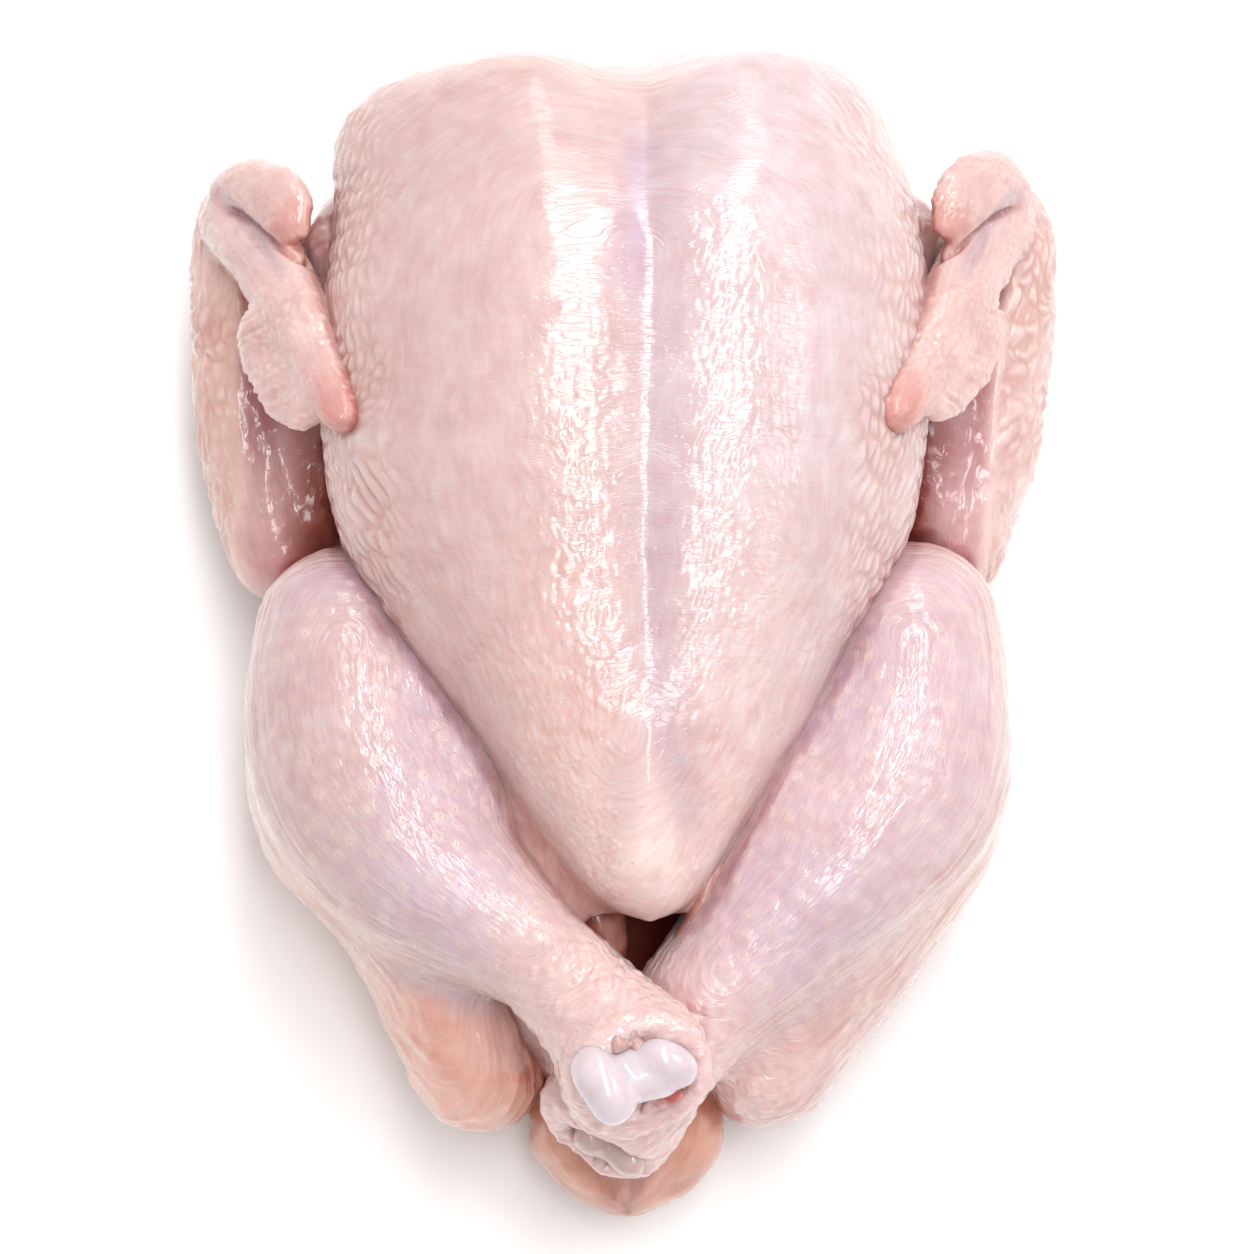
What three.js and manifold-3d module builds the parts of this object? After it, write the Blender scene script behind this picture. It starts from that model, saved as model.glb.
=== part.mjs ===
// A whole raw chicken, plucked, drawn and ready for the oven. It lies on its back, with its neck end
// towards +Y, its tail towards -Y and its breast up. The feet are off, the wings are folded in a Z
// against the flanks, and one drumstick crosses over the other above the open vent.
// Left and right are the bird's own: it lies on its back, so its left side is at +X.
// Lengths are in millimetres. The origin is on the table, under the middle of the bird.
import * as THREE from "three";
import { mergeVertices } from "three/addons/utils/BufferGeometryUtils.js";
import Module from "manifold-3d";

const wasm = await Module();
wasm.setup();

// ---------------------------------------------------------------- driving dimensions

const LEFT = 1;
const RIGHT = -1;
const BONE_GAP = 0.45; // between a leg bone and the flesh round it
const TABLE_BOX = 400; // side of the block that trims what would hang below the table

// Every table below lists cross-sections along one form: where its middle is, and its half width
// and half height there.

// The breast: two full lobes at the neck end, narrowing to the blunt tip of the keel, which
// overhangs the vent.
const BREAST = [
  { at: [-2.5, 123, 53], wide: 57, high: 28 },
  { at: [-1.5, 106, 55], wide: 60.5, high: 38 },
  { at: [0, 84, 56], wide: 64.5, high: 46 },
  { at: [0, 58, 57], wide: 66.5, high: 48.5 },
  { at: [0, 33, 58], wide: 65, high: 47.5 },
  { at: [1, 14, 60], wide: 60, high: 43.5 },
  { at: [2, -3, 62], wide: 50, high: 39 },
  { at: [3, -20, 64], wide: 39, high: 34.5 },
  { at: [3.5, -38, 66], wide: 27, high: 27 },
  { at: [4.5, -54, 68], wide: 16, high: 18 },
  { at: [6, -66.5, 68], wide: 9, high: 10 },
];
const CLEFT = { depth: 8, reach: 16, notch: 6, notchReach: 17 }; // the valley between its lobes

// The rib cage and back, down to the root of the tail.
const BACK = [
  { at: [0, 115, 38], wide: 36, high: 28 },
  { at: [0, 94, 36], wide: 55, high: 37 },
  { at: [0, 60, 34], wide: 62, high: 38 },
  { at: [0, 20, 33], wide: 60, high: 37 },
  { at: [0, -20, 32], wide: 54, high: 35 },
  { at: [0, -54, 31], wide: 45, high: 33 },
  { at: [0, -80, 27], wide: 34, high: 27 },
  { at: [0, -100, 23], wide: 22, high: 19 },
];

// The neck skin, tucked in between the lobes of the breast.
const NECK_SKIN = [
  { at: [-2, 84, 46], wide: 22, high: 24 },
  { at: [-2, 103, 46], wide: 26, high: 28 },
  { at: [-2, 117, 42], wide: 24, high: 26 },
];

// The tail, a broad lobe with a blunt point.
const TAIL = [
  { at: [0, -74, 25], wide: 20, high: 18 },
  { at: [0, -92, 23], wide: 20.5, high: 17 },
  { at: [0.5, -107, 20], wide: 21.5, high: 15 },
  { at: [0.5, -117, 18], wide: 15, high: 11 },
  { at: [0.5, -124, 17], wide: 7, high: 7 },
];

// The emptied body, closed at the neck end.
const CAVITY = [
  { at: [1, 74, 48], wide: 22, high: 20 },
  { at: [1, 44, 48], wide: 38, high: 31 },
  { at: [2, 8, 46], wide: 37, high: 29 },
  { at: [2, -25, 43], wide: 30, high: 24 },
  { at: [2, -52, 43], wide: 25, high: 20 },
  { at: [2, -70, 42], wide: 23, high: 17 },
  { at: [2, -88, 43], wide: 18, high: 14 },
];

// The vent, which opens the body between the tip of the keel and the tail.
const VENT = [
  { at: [3, -66, 34], wide: 15, high: 9 },
  { at: [3, -71, 50], wide: 16, high: 10 },
  { at: [4, -77, 66], wide: 15, high: 10 },
  { at: [4, -84, 86], wide: 14, high: 10 },
];

// A loose lobe of fat at the right edge of the vent.
const VENT_FAT = [
  { at: [-13, -46, 50], wide: 5, high: 8 },
  { at: [-10, -57, 47], wide: 5.5, high: 9 },
  { at: [-8.5, -67, 43], wide: 5.5, high: 10 },
  { at: [-8, -78, 39], wide: 5, high: 9 },
];

// The strip of vent skin that runs along the left drumstick.
const VENT_SKIN = [
  { at: [25, -46, 54], wide: 4, high: 8 },
  { at: [18.5, -56, 55], wide: 4, high: 9 },
  { at: [14, -66, 54], wide: 3.5, high: 9 },
  { at: [9, -76, 52], wide: 3.5, high: 9 },
  { at: [2, -86, 49], wide: 4, high: 8 },
];

// The drumsticks, from the knee to the cut hock. The right one lies on top where they cross.
const DRUMSTICKS = {
  right: [
    { at: [-58, 17, 44], wide: 15, high: 17 },
    { at: [-60, 1, 46], wide: 19, high: 22 },
    { at: [-59, -16, 48], wide: 23, high: 25.5 },
    { at: [-53, -34, 50], wide: 25.5, high: 27 },
    { at: [-43, -51, 54], wide: 22, high: 24 },
    { at: [-30, -66, 60], wide: 17.5, high: 18 },
    { at: [-17, -79, 66], wide: 14, high: 14 },
    { at: [-6, -89, 71], wide: 14.5, high: 14 },
    { at: [2, -97, 75], wide: 16.5, high: 15 },
    { at: [7, -105, 78], wide: 15, high: 13 },
  ],
  left: [
    { at: [60, 19, 42], wide: 15, high: 17 },
    { at: [61, 4, 44], wide: 19, high: 22 },
    { at: [60.5, -12, 46], wide: 22, high: 25.5 },
    { at: [56, -33, 48], wide: 26, high: 27 },
    { at: [44, -51, 50], wide: 22.5, high: 24 },
    { at: [30, -67, 52], wide: 18, high: 18.5 },
    { at: [17, -81, 53], wide: 14.5, high: 14.5 },
    { at: [6, -93, 51], wide: 14, high: 13.5 },
    { at: [-3, -103, 48], wide: 15, high: 13.5 },
    { at: [-8, -111, 46], wide: 14, high: 12 },
  ],
};

// The thighs, from the knee back to the hip, each ending in the full lobe beside the tail.
const THIGHS = {
  right: [
    { at: [-60, 8, 34], wide: 14, high: 22 },
    { at: [-62, -14, 33], wide: 19.5, high: 27 },
    { at: [-59.5, -36, 32], wide: 21, high: 29 },
    { at: [-47, -58, 30], wide: 16.5, high: 28 },
    { at: [-36.5, -78, 28], wide: 16.5, high: 27 },
    { at: [-30.5, -93, 26], wide: 15, high: 23 },
    { at: [-24, -105, 24], wide: 10, high: 16 },
  ],
  left: [
    { at: [61, 8, 34], wide: 14, high: 22 },
    { at: [62.5, -14, 33], wide: 19.5, high: 27 },
    { at: [60, -38, 32], wide: 21.5, high: 29 },
    { at: [50, -61, 30], wide: 18, high: 28 },
    { at: [37, -80, 28], wide: 17, high: 27 },
    { at: [29.5, -94, 26], wide: 14.5, high: 23 },
    { at: [25, -105, 24], wide: 10, high: 16 },
  ],
};

// The leg bones. The shaft follows the drumstick. The hub is the middle of the spool of cartilage
// at its lower end, and the axle is the spool's own axis.
const LEG_BONES = {
  right: {
    shaft: [
      { at: [-58, -2, 44], round: 7 },
      { at: [-56, -16, 47], round: 6 },
      { at: [-43, -46, 53], round: 4 },
      { at: [-20, -76, 66], round: 4 },
      { at: [-4, -92, 76], round: 5 },
      { at: [3, -99, 82], round: 4.5 },
    ],
    hub: [3.3, -99, 83],
    axle: [0.92, 0.38, -0.05],
  },
  left: {
    shaft: [
      { at: [59, 0, 42], round: 7 },
      { at: [57, -14, 44], round: 6 },
      { at: [45, -45, 48], round: 4 },
      { at: [22, -76, 52], round: 4 },
      { at: [4, -97, 50], round: 5 },
      { at: [-3, -105, 48], round: 4.5 },
    ],
    hub: [-4, -107, 48],
    axle: [0.75, -0.62, 0.2],
  },
};

// The spool at the end of a leg bone: radius, and distance along its axle.
const SPOOL = [
  [0, -11.5],
  [5, -10.8],
  [7.6, -8],
  [7.6, -5],
  [5.4, 0],
  [6.8, 5],
  [7, 8],
  [4.6, 10.8],
  [0, 11.5],
];

// The bowl that the cut leaves in the end of each drumstick: its middle and its radius.
const CUT_BOWLS = {
  right: { middle: [5.5, -103, 91], radius: 12 },
  left: { middle: [-7, -114, 47], radius: 9 },
};

// Each wing is folded in a Z. The upper arm lies along the flank, the forearm comes back outside
// it, and the hand lies over both, with its tip on the side of the breast. A thin web of skin hangs
// from the back edge of the hand, and the thumb stands off its root.
const WINGS = {
  right: {
    upperArm: [
      { at: [-48, 96, 44], wide: 15, high: 20 },
      { at: [-61, 72, 36], wide: 16, high: 18 },
      { at: [-68, 44, 27], wide: 15, high: 14 },
      { at: [-73, 20, 22], wide: 12, high: 12 },
    ],
    forearm: [
      { at: [-73, 10, 22], wide: 9, high: 12 },
      { at: [-77.5, 28, 24], wide: 12, high: 14 },
      { at: [-81.5, 50, 27], wide: 13, high: 15 },
      { at: [-83, 72, 30], wide: 12.5, high: 15 },
      { at: [-82.5, 91, 33], wide: 12.5, high: 14 },
      { at: [-79, 104, 37], wide: 9, high: 11 },
    ],
    palm: [
      { at: [-87.5, 95, 42], wide: 8, high: 8 },
      { at: [-82, 86.5, 51], wide: 8.6, high: 8 },
      { at: [-76.5, 77.5, 58], wide: 8.5, high: 7 },
      { at: [-72, 68, 64], wide: 8, high: 6.5 },
      { at: [-68, 58.5, 70], wide: 7.5, high: 6 },
      { at: [-63.5, 48.5, 76], wide: 6.5, high: 5.5 },
      { at: [-59.5, 40.5, 81], wide: 4.8, high: 5 },
      { at: [-57.5, 36.5, 84], wide: 3.8, high: 4 },
    ],
    web: [
      { at: [-79, 66.5, 57], wide: 5, high: 4 },
      { at: [-74, 57, 63], wide: 8.5, high: 3 },
      { at: [-69, 49, 68], wide: 9, high: 2.8 },
      { at: [-63.5, 42, 76], wide: 5, high: 2.5 },
    ],
    thumb: [
      { at: [-86.5, 96, 46], wide: 8, high: 8 },
      { at: [-80.5, 94.5, 56], wide: 7.5, high: 6.5 },
      { at: [-75, 89.5, 63], wide: 6.5, high: 5.5 },
      { at: [-70.5, 85, 65], wide: 5, high: 4.5 },
      { at: [-68, 82, 65], wide: 2.8, high: 3 },
    ],
  },
  left: {
    upperArm: [
      { at: [48, 96, 44], wide: 15, high: 20 },
      { at: [61, 72, 36], wide: 16, high: 18 },
      { at: [66, 44, 28], wide: 15, high: 15 },
      { at: [69, 20, 24], wide: 12, high: 13 },
    ],
    forearm: [
      { at: [70.5, 11, 22], wide: 9, high: 12 },
      { at: [74, 28, 24], wide: 12, high: 14 },
      { at: [79, 50, 27], wide: 13, high: 15 },
      { at: [82, 72, 30], wide: 12.5, high: 15 },
      { at: [82, 91, 33], wide: 12.5, high: 14 },
      { at: [79, 104, 37], wide: 9, high: 11 },
    ],
    palm: [
      { at: [84, 95, 42], wide: 8, high: 8 },
      { at: [79, 86.5, 51], wide: 9, high: 8 },
      { at: [75, 77.5, 58], wide: 8.6, high: 7 },
      { at: [71, 68, 64], wide: 8.2, high: 6.5 },
      { at: [67, 58.5, 70], wide: 7.8, high: 6 },
      { at: [61.5, 48.5, 76], wide: 6.8, high: 5.5 },
      { at: [56.5, 40, 82], wide: 5.2, high: 5 },
      { at: [54.5, 36.5, 84], wide: 4.2, high: 4 },
    ],
    web: [
      { at: [77.5, 70, 57], wide: 5, high: 4 },
      { at: [73.5, 60, 63], wide: 8, high: 3 },
      { at: [68, 51, 68], wide: 8.5, high: 2.8 },
      { at: [61.5, 43, 76], wide: 5, high: 2.5 },
    ],
    thumb: [
      { at: [84, 96.5, 46], wide: 9, high: 8 },
      { at: [78, 94.5, 56], wide: 8.5, high: 6.5 },
      { at: [72.5, 89.5, 63], wide: 6.5, high: 5.5 },
      { at: [69, 84, 65], wide: 5, high: 4.5 },
      { at: [66.5, 81, 65], wide: 2.8, high: 3 },
    ],
  },
};

// ---------------------------------------------------------------- how every form is made

// A form is a ball whose points are moved onto cross-sections along a smooth curve. Each section
// says where its middle is, and its half width and half height. The two ends are rounded, over
// a share of the length, and "up" is the direction in which the half height is measured.
function form(sections, { around = 16, along = 16, up = [0, 0, 1], ends = [0.12, 0.12], square = 2 } = {}) {
  const middle = new THREE.CatmullRomCurve3(sections.map((s) => new THREE.Vector3(...s.at)));
  const girth = new THREE.CatmullRomCurve3(sections.map((s) => new THREE.Vector3(s.wide, s.high, 0)));
  const ball = new THREE.SphereGeometry(1, around, along);
  const points = ball.getAttribute("position");
  const point = new THREE.Vector3();
  for (let i = 0; i < points.count; i++) {
    point.fromBufferAttribute(points, i);
    const ring = Math.acos(THREE.MathUtils.clamp(-point.y, -1, 1)) / Math.PI;
    const turn = Math.atan2(point.z, point.x);
    const { share, swell } = roundedEnds(ring, ends);
    const t = middle.getUtoTmapping(share);
    const { x: wide, y: high } = girth.getPoint(t);
    const axis = middle.getTangent(t);
    const side = new THREE.Vector3().crossVectors(axis, new THREE.Vector3(...up)).normalize();
    const top = new THREE.Vector3().crossVectors(side, axis).normalize();
    const across = squared(Math.cos(turn), square) * wide * swell;
    const above = squared(Math.sin(turn), square) * high * swell;
    const placed = middle.getPoint(t).addScaledVector(side, across).addScaledVector(top, above);
    points.setXYZ(i, placed.x, placed.y, placed.z);
  }
  return ball;
}

// Where ring number "ring" (0 to 1) of the ball goes along the curve, and how far it has swelled.
function roundedEnds(ring, [first, last]) {
  const rings = 0.2; // share of the rings that each rounded end takes
  if (ring < rings) {
    const angle = (ring / rings) * (Math.PI / 2);
    return { share: first * (1 - Math.cos(angle)), swell: Math.sin(angle) };
  }
  if (ring > 1 - rings) {
    const angle = ((1 - ring) / rings) * (Math.PI / 2);
    return { share: 1 - last * (1 - Math.cos(angle)), swell: Math.sin(angle) };
  }
  return { share: first + ((ring - rings) / (1 - 2 * rings)) * (1 - first - last), swell: 1 };
}

// Bends a round section (power 2) towards a rounded square (power above 2).
function squared(value, power) {
  return Math.sign(value) * Math.abs(value) ** (2 / power);
}

// Moves each point of a form by what "shift" returns for it.
function reshaped(geometry, shift) {
  const points = geometry.getAttribute("position");
  const point = new THREE.Vector3();
  for (let i = 0; i < points.count; i++) {
    point.fromBufferAttribute(points, i);
    const [x, y, z] = shift(point);
    points.setXYZ(i, point.x + x, point.y + y, point.z + z);
  }
  return geometry;
}

// A bell curve: 1 at the middle, falling to nothing some way either side of it.
function bell(distance, reach) {
  return Math.exp(-((distance / reach) ** 2));
}

// A soft step from 0 to 1.
function step(value, low, high) {
  return THREE.MathUtils.smoothstep(value, Math.min(low, high), Math.max(low, high));
}

// The solid inside a closed geometry.
function solid(geometry) {
  geometry.deleteAttribute("normal");
  geometry.deleteAttribute("uv");
  const merged = mergeVertices(geometry, 1e-4);
  return new wasm.Manifold(
    new wasm.Mesh({
      numProp: 3,
      vertProperties: merged.attributes.position.array,
      triVerts: new Uint32Array(merged.index.array),
    }),
  );
}

function joined(...solids) {
  return solids.reduce((sum, next) => sum.add(next));
}

// The outer body of a solid, without the small closed pockets that are left where skin lies on skin.
function withoutPockets(manifold) {
  return manifold.decompose().reduce((most, body) => (body.volume() > most.volume() ? body : most));
}

function geometryOf(manifold) {
  const { vertProperties, triVerts } = manifold.getMesh();
  return new THREE.BufferGeometry()
    .setAttribute("position", new THREE.BufferAttribute(vertProperties, 3))
    .setIndex(new THREE.BufferAttribute(triVerts, 1));
}

// ---------------------------------------------------------------- the forms of the bird

// The breast, with the cleft between its lobes, which dies out towards the keel.
function breast() {
  const lobes = form(BREAST, { around: 38, along: 30, ends: [0.08, 0.06], square: 2.15 });
  return reshaped(lobes, ({ x, y, z }) => {
    const nearNeck = step(y, -10, 112);
    const onTop = step(z, 45, 80);
    const notch = CLEFT.notch * bell(x + 2, CLEFT.notchReach) * step(y, 98, 120);
    const cleft = CLEFT.depth * nearNeck * (0.25 + 0.75 * nearNeck) * onTop;
    return [0, -notch, -cleft * bell(x - 2, CLEFT.reach * (0.6 + 0.4 * nearNeck))];
  });
}

function drumstick(sections) {
  return form(sections, { around: 22, along: 26, ends: [0.1, 0.05], square: 2.1 });
}

function thigh(sections) {
  return form(sections, { around: 18, along: 18, ends: [0.14, 0.08], square: 2.1 });
}

function wing({ upperArm, forearm, palm, web, thumb }, hand) {
  const up = [hand * 0.5, 0, 0.87]; // the flat of the hand looks up and outward
  const parts = [
    form(upperArm, { around: 12, along: 10, ends: [0.14, 0.12] }),
    form(forearm, { around: 14, along: 16, ends: [0.1, 0.08] }),
    form(palm, { around: 12, along: 16, ends: [0.08, 0.06], up }),
    form(web, { around: 10, along: 10, ends: [0.14, 0.12], up }),
    form(thumb, { around: 12, along: 10, ends: [0.2, 0.12], up }),
  ];
  return joined(...parts.map(solid));
}

// A leg bone, or with "spare" all round it the hole that the bone lies in.
function legBone({ shaft, hub, axle }, spare = 0) {
  const rod = form(
    shaft.map(({ at, round }) => ({ at, wide: round + spare, high: round + spare })),
    { around: 10, along: 12, ends: [0.08, 0.05] },
  );
  const rims = SPOOL.map(([radius, along]) => {
    const onAxle = radius === 0;
    return new THREE.Vector2(onAxle ? 0 : radius + spare, along + Math.sign(along) * spare);
  });
  const turned = new THREE.Quaternion().setFromUnitVectors(
    new THREE.Vector3(0, 1, 0),
    new THREE.Vector3(...axle).normalize(),
  );
  const spool = new THREE.LatheGeometry(rims, 14).applyQuaternion(turned).translate(...hub);
  return joined(solid(rod), solid(spool));
}

function cutBowl({ middle, radius }) {
  return new THREE.SphereGeometry(radius, 18, 12).translate(...middle);
}

// ---------------------------------------------------------------- the whole bird

const table = new THREE.BoxGeometry(TABLE_BOX, TABLE_BOX, TABLE_BOX).translate(0, 0, -TABLE_BOX / 2);
const back = form(BACK, { around: 24, along: 16, ends: [0.1, 0.08], square: 2.25 });
const neckSkin = form(NECK_SKIN, { around: 14, along: 10, ends: [0.3, 0.3] });
const cavity = form(CAVITY, { around: 16, along: 14, ends: [0.12, 0.12] });
const vent = form(VENT, { around: 14, along: 8, ends: [0.12, 0.05], up: [0, 1, 0] });
const tail = form(TAIL, { around: 20, along: 14, ends: [0.2, 0.1] });
const ventFat = form(VENT_FAT, { around: 12, along: 10, ends: [0.25, 0.2] });
const ventSkin = form(VENT_SKIN, { around: 10, along: 10, ends: [0.2, 0.2] });

const emptied = joined(solid(cavity), solid(vent));
const trunk = joined(solid(breast()), solid(back), solid(neckSkin)).subtract(emptied);
const flesh = joined(
  trunk,
  solid(ventFat),
  solid(ventSkin),
  solid(tail),
  solid(thigh(THIGHS.left)),
  solid(thigh(THIGHS.right)),
  solid(drumstick(DRUMSTICKS.left)),
  solid(drumstick(DRUMSTICKS.right)),
  wing(WINGS.left, LEFT),
  wing(WINGS.right, RIGHT),
)
  .subtract(solid(table))
  .subtract(solid(cutBowl(CUT_BOWLS.right)))
  .subtract(solid(cutBowl(CUT_BOWLS.left)))
  .subtract(legBone(LEG_BONES.right, BONE_GAP))
  .subtract(legBone(LEG_BONES.left, BONE_GAP));

const skin = new THREE.MeshStandardMaterial({ color: 0xecc8c2, roughness: 0.35, metalness: 0 });
const cartilage = new THREE.MeshStandardMaterial({ color: 0xe6dde4, roughness: 0.25, metalness: 0 });

const pieces = {
  carcass: [geometryOf(withoutPockets(flesh)), skin],
  right_leg_bone: [geometryOf(legBone(LEG_BONES.right)), cartilage],
  left_leg_bone: [geometryOf(legBone(LEG_BONES.left)), cartilage.clone()],
};

const chicken = new THREE.Group();
for (const [name, [geometry, material]] of Object.entries(pieces)) {
  const mesh = new THREE.Mesh(geometry, material);
  mesh.name = name;
  chicken.add(mesh);
}

export default chicken;
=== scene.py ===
from functools import partial
import itertools
import math

import bpy
import numpy as np
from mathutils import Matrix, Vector
from mathutils.kdtree import KDTree


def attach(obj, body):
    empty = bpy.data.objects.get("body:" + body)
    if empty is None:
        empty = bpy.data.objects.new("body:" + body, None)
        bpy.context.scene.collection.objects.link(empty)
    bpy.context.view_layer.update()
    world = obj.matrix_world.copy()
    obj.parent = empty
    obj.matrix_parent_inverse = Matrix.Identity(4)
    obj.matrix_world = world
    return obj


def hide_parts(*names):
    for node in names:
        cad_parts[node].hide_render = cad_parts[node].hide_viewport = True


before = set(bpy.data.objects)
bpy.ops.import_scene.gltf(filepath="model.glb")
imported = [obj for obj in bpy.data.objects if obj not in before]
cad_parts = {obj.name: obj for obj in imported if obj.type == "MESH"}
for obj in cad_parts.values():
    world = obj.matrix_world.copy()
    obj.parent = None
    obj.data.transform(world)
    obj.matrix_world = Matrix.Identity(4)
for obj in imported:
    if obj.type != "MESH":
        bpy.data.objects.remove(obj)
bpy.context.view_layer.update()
MM = 0.001

# ---------------------------------------------------------------- camera, floor and light
# The camera looks down on the breast, ten degrees off the vertical. The floor is a plain white
# sheet. The light is a bright white room with a long soft box overhead and a smaller one on the
# left of the bird, both with soft edges.
CAMERA_AT = (0, -0.2257, 1.3253)  # metres
TILT = 10  # degrees off the vertical
FLOOR_BELOW = 0.2 * MM
LOW_WALL, CEILING, WALL_STRENGTH = (0.42, 0.39, 0.38, 1), (1, 1, 1, 1), 0.725
SOFT_BOXES = [  # its middle, half its sides and its soft edges, in x and y of the direction; its brightness
    ((0.13, 0.25), (0.10, 0.55), (0.03, 0.28), 11.5),
    ((0.62, 0.14), (0.09, 0.24), (0.02, 0.05), 5.5),
]
camera = bpy.data.objects.new("camera", bpy.data.cameras.new("camera"))
bpy.context.scene.collection.objects.link(camera)
camera.location = CAMERA_AT
camera.rotation_euler = (math.radians(TILT), 0, 0)
camera.data.lens = 173.2
camera.data.sensor_width = 36
camera.data.shift_x = 0.0016
camera.data.shift_y = 0.0024
camera.data.clip_start = 0.01
camera.data.clip_end = 100
bpy.context.scene.camera = camera
bpy.context.scene.view_settings.view_transform = "Standard"

bpy.ops.object.select_all(action="DESELECT")
bpy.ops.mesh.primitive_plane_add(size=6, location=(0, 0, -FLOOR_BELOW))
floor = bpy.context.object
floor.name = "floor"
bpy.ops.object.transform_apply(location=True, rotation=False, scale=False)
paper = bpy.data.materials.new("white paper")
paper.use_nodes = True
white = paper.node_tree.nodes["Principled BSDF"].inputs
white["Base Color"].default_value = (0.97, 0.97, 0.97, 1)
white["Roughness"].default_value = 0.8
white["Specular IOR Level"].default_value = 0.2
floor.data.materials.append(paper)


def node(tree, kind, inputs=None, **settings):
    """A shader node. Each input is a number or a colour, or else what another node gives."""
    made = tree.nodes.new("ShaderNode" + kind)
    for key, value in settings.items():
        setattr(made, key, value)
    for key, value in (inputs or {}).items():
        if isinstance(value, bpy.types.NodeSocket):
            tree.links.new(value, made.inputs[key])
        else:
            made.inputs[key].default_value = value
    return made


def sums(tree, kind, a, b=0.0):
    """What a sum gives, such as MULTIPLY, of one value or two."""
    return node(tree, "Math", {0: a, 1: b}, operation=kind).outputs[0]


def fade(tree, value, low, high, to_low, to_high):
    """Turns the reach from low to high into that from to_low to to_high, with soft ends."""
    reach = {"Value": value, "From Min": low, "From Max": high, "To Min": to_low, "To Max": to_high}
    return node(tree, "MapRange", reach, interpolation_type="SMOOTHSTEP").outputs[0]


room = bpy.data.worlds.new("white room")
room.use_nodes = True
sky = room.node_tree
background = sky.nodes["Background"]
aim = node(sky, "SeparateXYZ", {0: node(sky, "TexCoord").outputs["Generated"]})
height = fade(sky, aim.outputs["Z"], 0, 0.7, 0, 1)
walls = node(sky, "Mix", {0: height, 6: LOW_WALL, 7: CEILING}, data_type="RGBA").outputs[2]
sky.links.new(walls, background.inputs["Color"])
background.inputs["Strength"].default_value = WALL_STRENGTH
above = sums(sky, "GREATER_THAN", aim.outputs["Z"])
boxes = 0.0
for middle, half, edge, brightness in SOFT_BOXES:
    lit = sums(sky, "MULTIPLY", above, brightness)
    for axis in (0, 1):
        off = sums(sky, "ABSOLUTE", sums(sky, "SUBTRACT", aim.outputs[axis], middle[axis]))
        inside = fade(sky, off, half[axis] - edge[axis], half[axis] + edge[axis], 1, 0)
        lit = sums(sky, "MULTIPLY", lit, inside)
    boxes = sums(sky, "ADD", boxes, lit)
overhead = node(sky, "Background", {"Strength": boxes}).outputs[0]
both = node(sky, "AddShader", {0: background.outputs[0], 1: overhead}).outputs[0]
sky.links.new(both, sky.nodes["World Output"].inputs["Surface"])
bpy.context.scene.world = room

# ---------------------------------------------------------------- trunk
# The breast, the back and the tucked neck skin are one bag of skin over meat, emptied through the
# vent. The skin is thin and wet, with its feather tracts either side of the keel. The hollow is cut
# out of the three forms, and they are fused.
BREAST = [  # middle x, y, z, half width, half height
    (-2.5, 123, 53, 57, 28), (-1.5, 106, 55, 60.5, 38), (0, 84, 56, 64.5, 46), (0, 58, 57, 66.5, 48.5),
    (0, 33, 58, 65, 47.5), (1, 14, 60, 60, 43.5), (2, -3, 62, 50, 39), (3, -20, 64, 39, 34.5),
    (3.5, -38, 66, 27, 27), (4.5, -54, 68, 16, 18), (6, -66.5, 68, 9, 10),
]
BACK = [
    (0, 115, 38, 36, 28), (0, 94, 36, 55, 37), (0, 60, 34, 62, 38), (0, 20, 33, 60, 37),
    (0, -20, 32, 54, 35), (0, -54, 31, 45, 33), (0, -80, 27, 34, 27), (0, -100, 23, 22, 19),
]
NECK_SKIN = [(-2, 84, 46, 22, 24), (-2, 103, 46, 26, 28), (-2, 117, 42, 24, 26)]
CAVITY = [
    (1, 74, 48, 22, 20), (1, 44, 48, 38, 31), (2, 8, 46, 37, 29), (2, -25, 43, 30, 24),
    (2, -52, 43, 25, 20), (2, -70, 42, 23, 17), (2, -88, 43, 18, 14),
]
VENT = [(3, -66, 34, 15, 9), (3, -71, 50, 16, 10), (4, -77, 66, 15, 10), (4, -84, 86, 14, 10)]
KEEL_X = 5.0
TRACT_X = (-20.0, 27.0)  # the axis of each feather tract
BREAST_WIDTH = ((-60, -38, -20, -3, 33, 60), (16, 29, 40, 51, 64, 65))  # y, half the width there
KEEL_DEPTH, TIP_DEPTH = 4.2, 1.6
STREAK, FOLD, PEBBLE, CRUMPLE = 0.27, 0.62, 0.3, 0.05  # heights of the relief in the skin
PALE, LIT_RIGHT_LOBE, PEACH = (0.66, 0.47, 0.455), (0.69, 0.545, 0.56), (0.86, 0.66, 0.62)
CLEFT, ON_KEEL, LAVENDER = (0.56, 0.40, 0.56), (0.76, 0.66, 0.68), (0.585, 0.43, 0.465)
SHADED_FLANK, SHADED_FOLD_GROOVE, LIT_FOLD_TOP = (0.56, 0.29, 0.25), (0.60, 0.31, 0.24), (0.80, 0.60, 0.55)
LIT_STREAK_TOP, SHADE_BETWEEN_PEBBLES = (0.74, 0.50, 0.45), (0.74, 0.44, 0.38)
RAW_MEAT, SHADOW_BESIDE_VENT = (0.42, 0.06, 0.04), (0.36, 0.11, 0.07)
PORE = (0.50, 0.20, 0.10, 1)


def points(piece):
    """The piece's points, in millimetres."""
    flat = np.empty(len(piece.data.vertices) * 3)
    piece.data.vertices.foreach_get("co", flat)
    return flat.reshape(-1, 3) / MM


def put(piece, moved):
    """Moves the piece's points to these places, in millimetres."""
    piece.data.vertices.foreach_set("co", (moved * MM).ravel())
    piece.data.update()


def outward(piece):
    """The direction out of the piece at each of its points."""
    flat = np.empty(len(piece.data.vertices) * 3)
    piece.data.vertex_normals.foreach_get("vector", flat)
    return flat.reshape(-1, 3)


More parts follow.
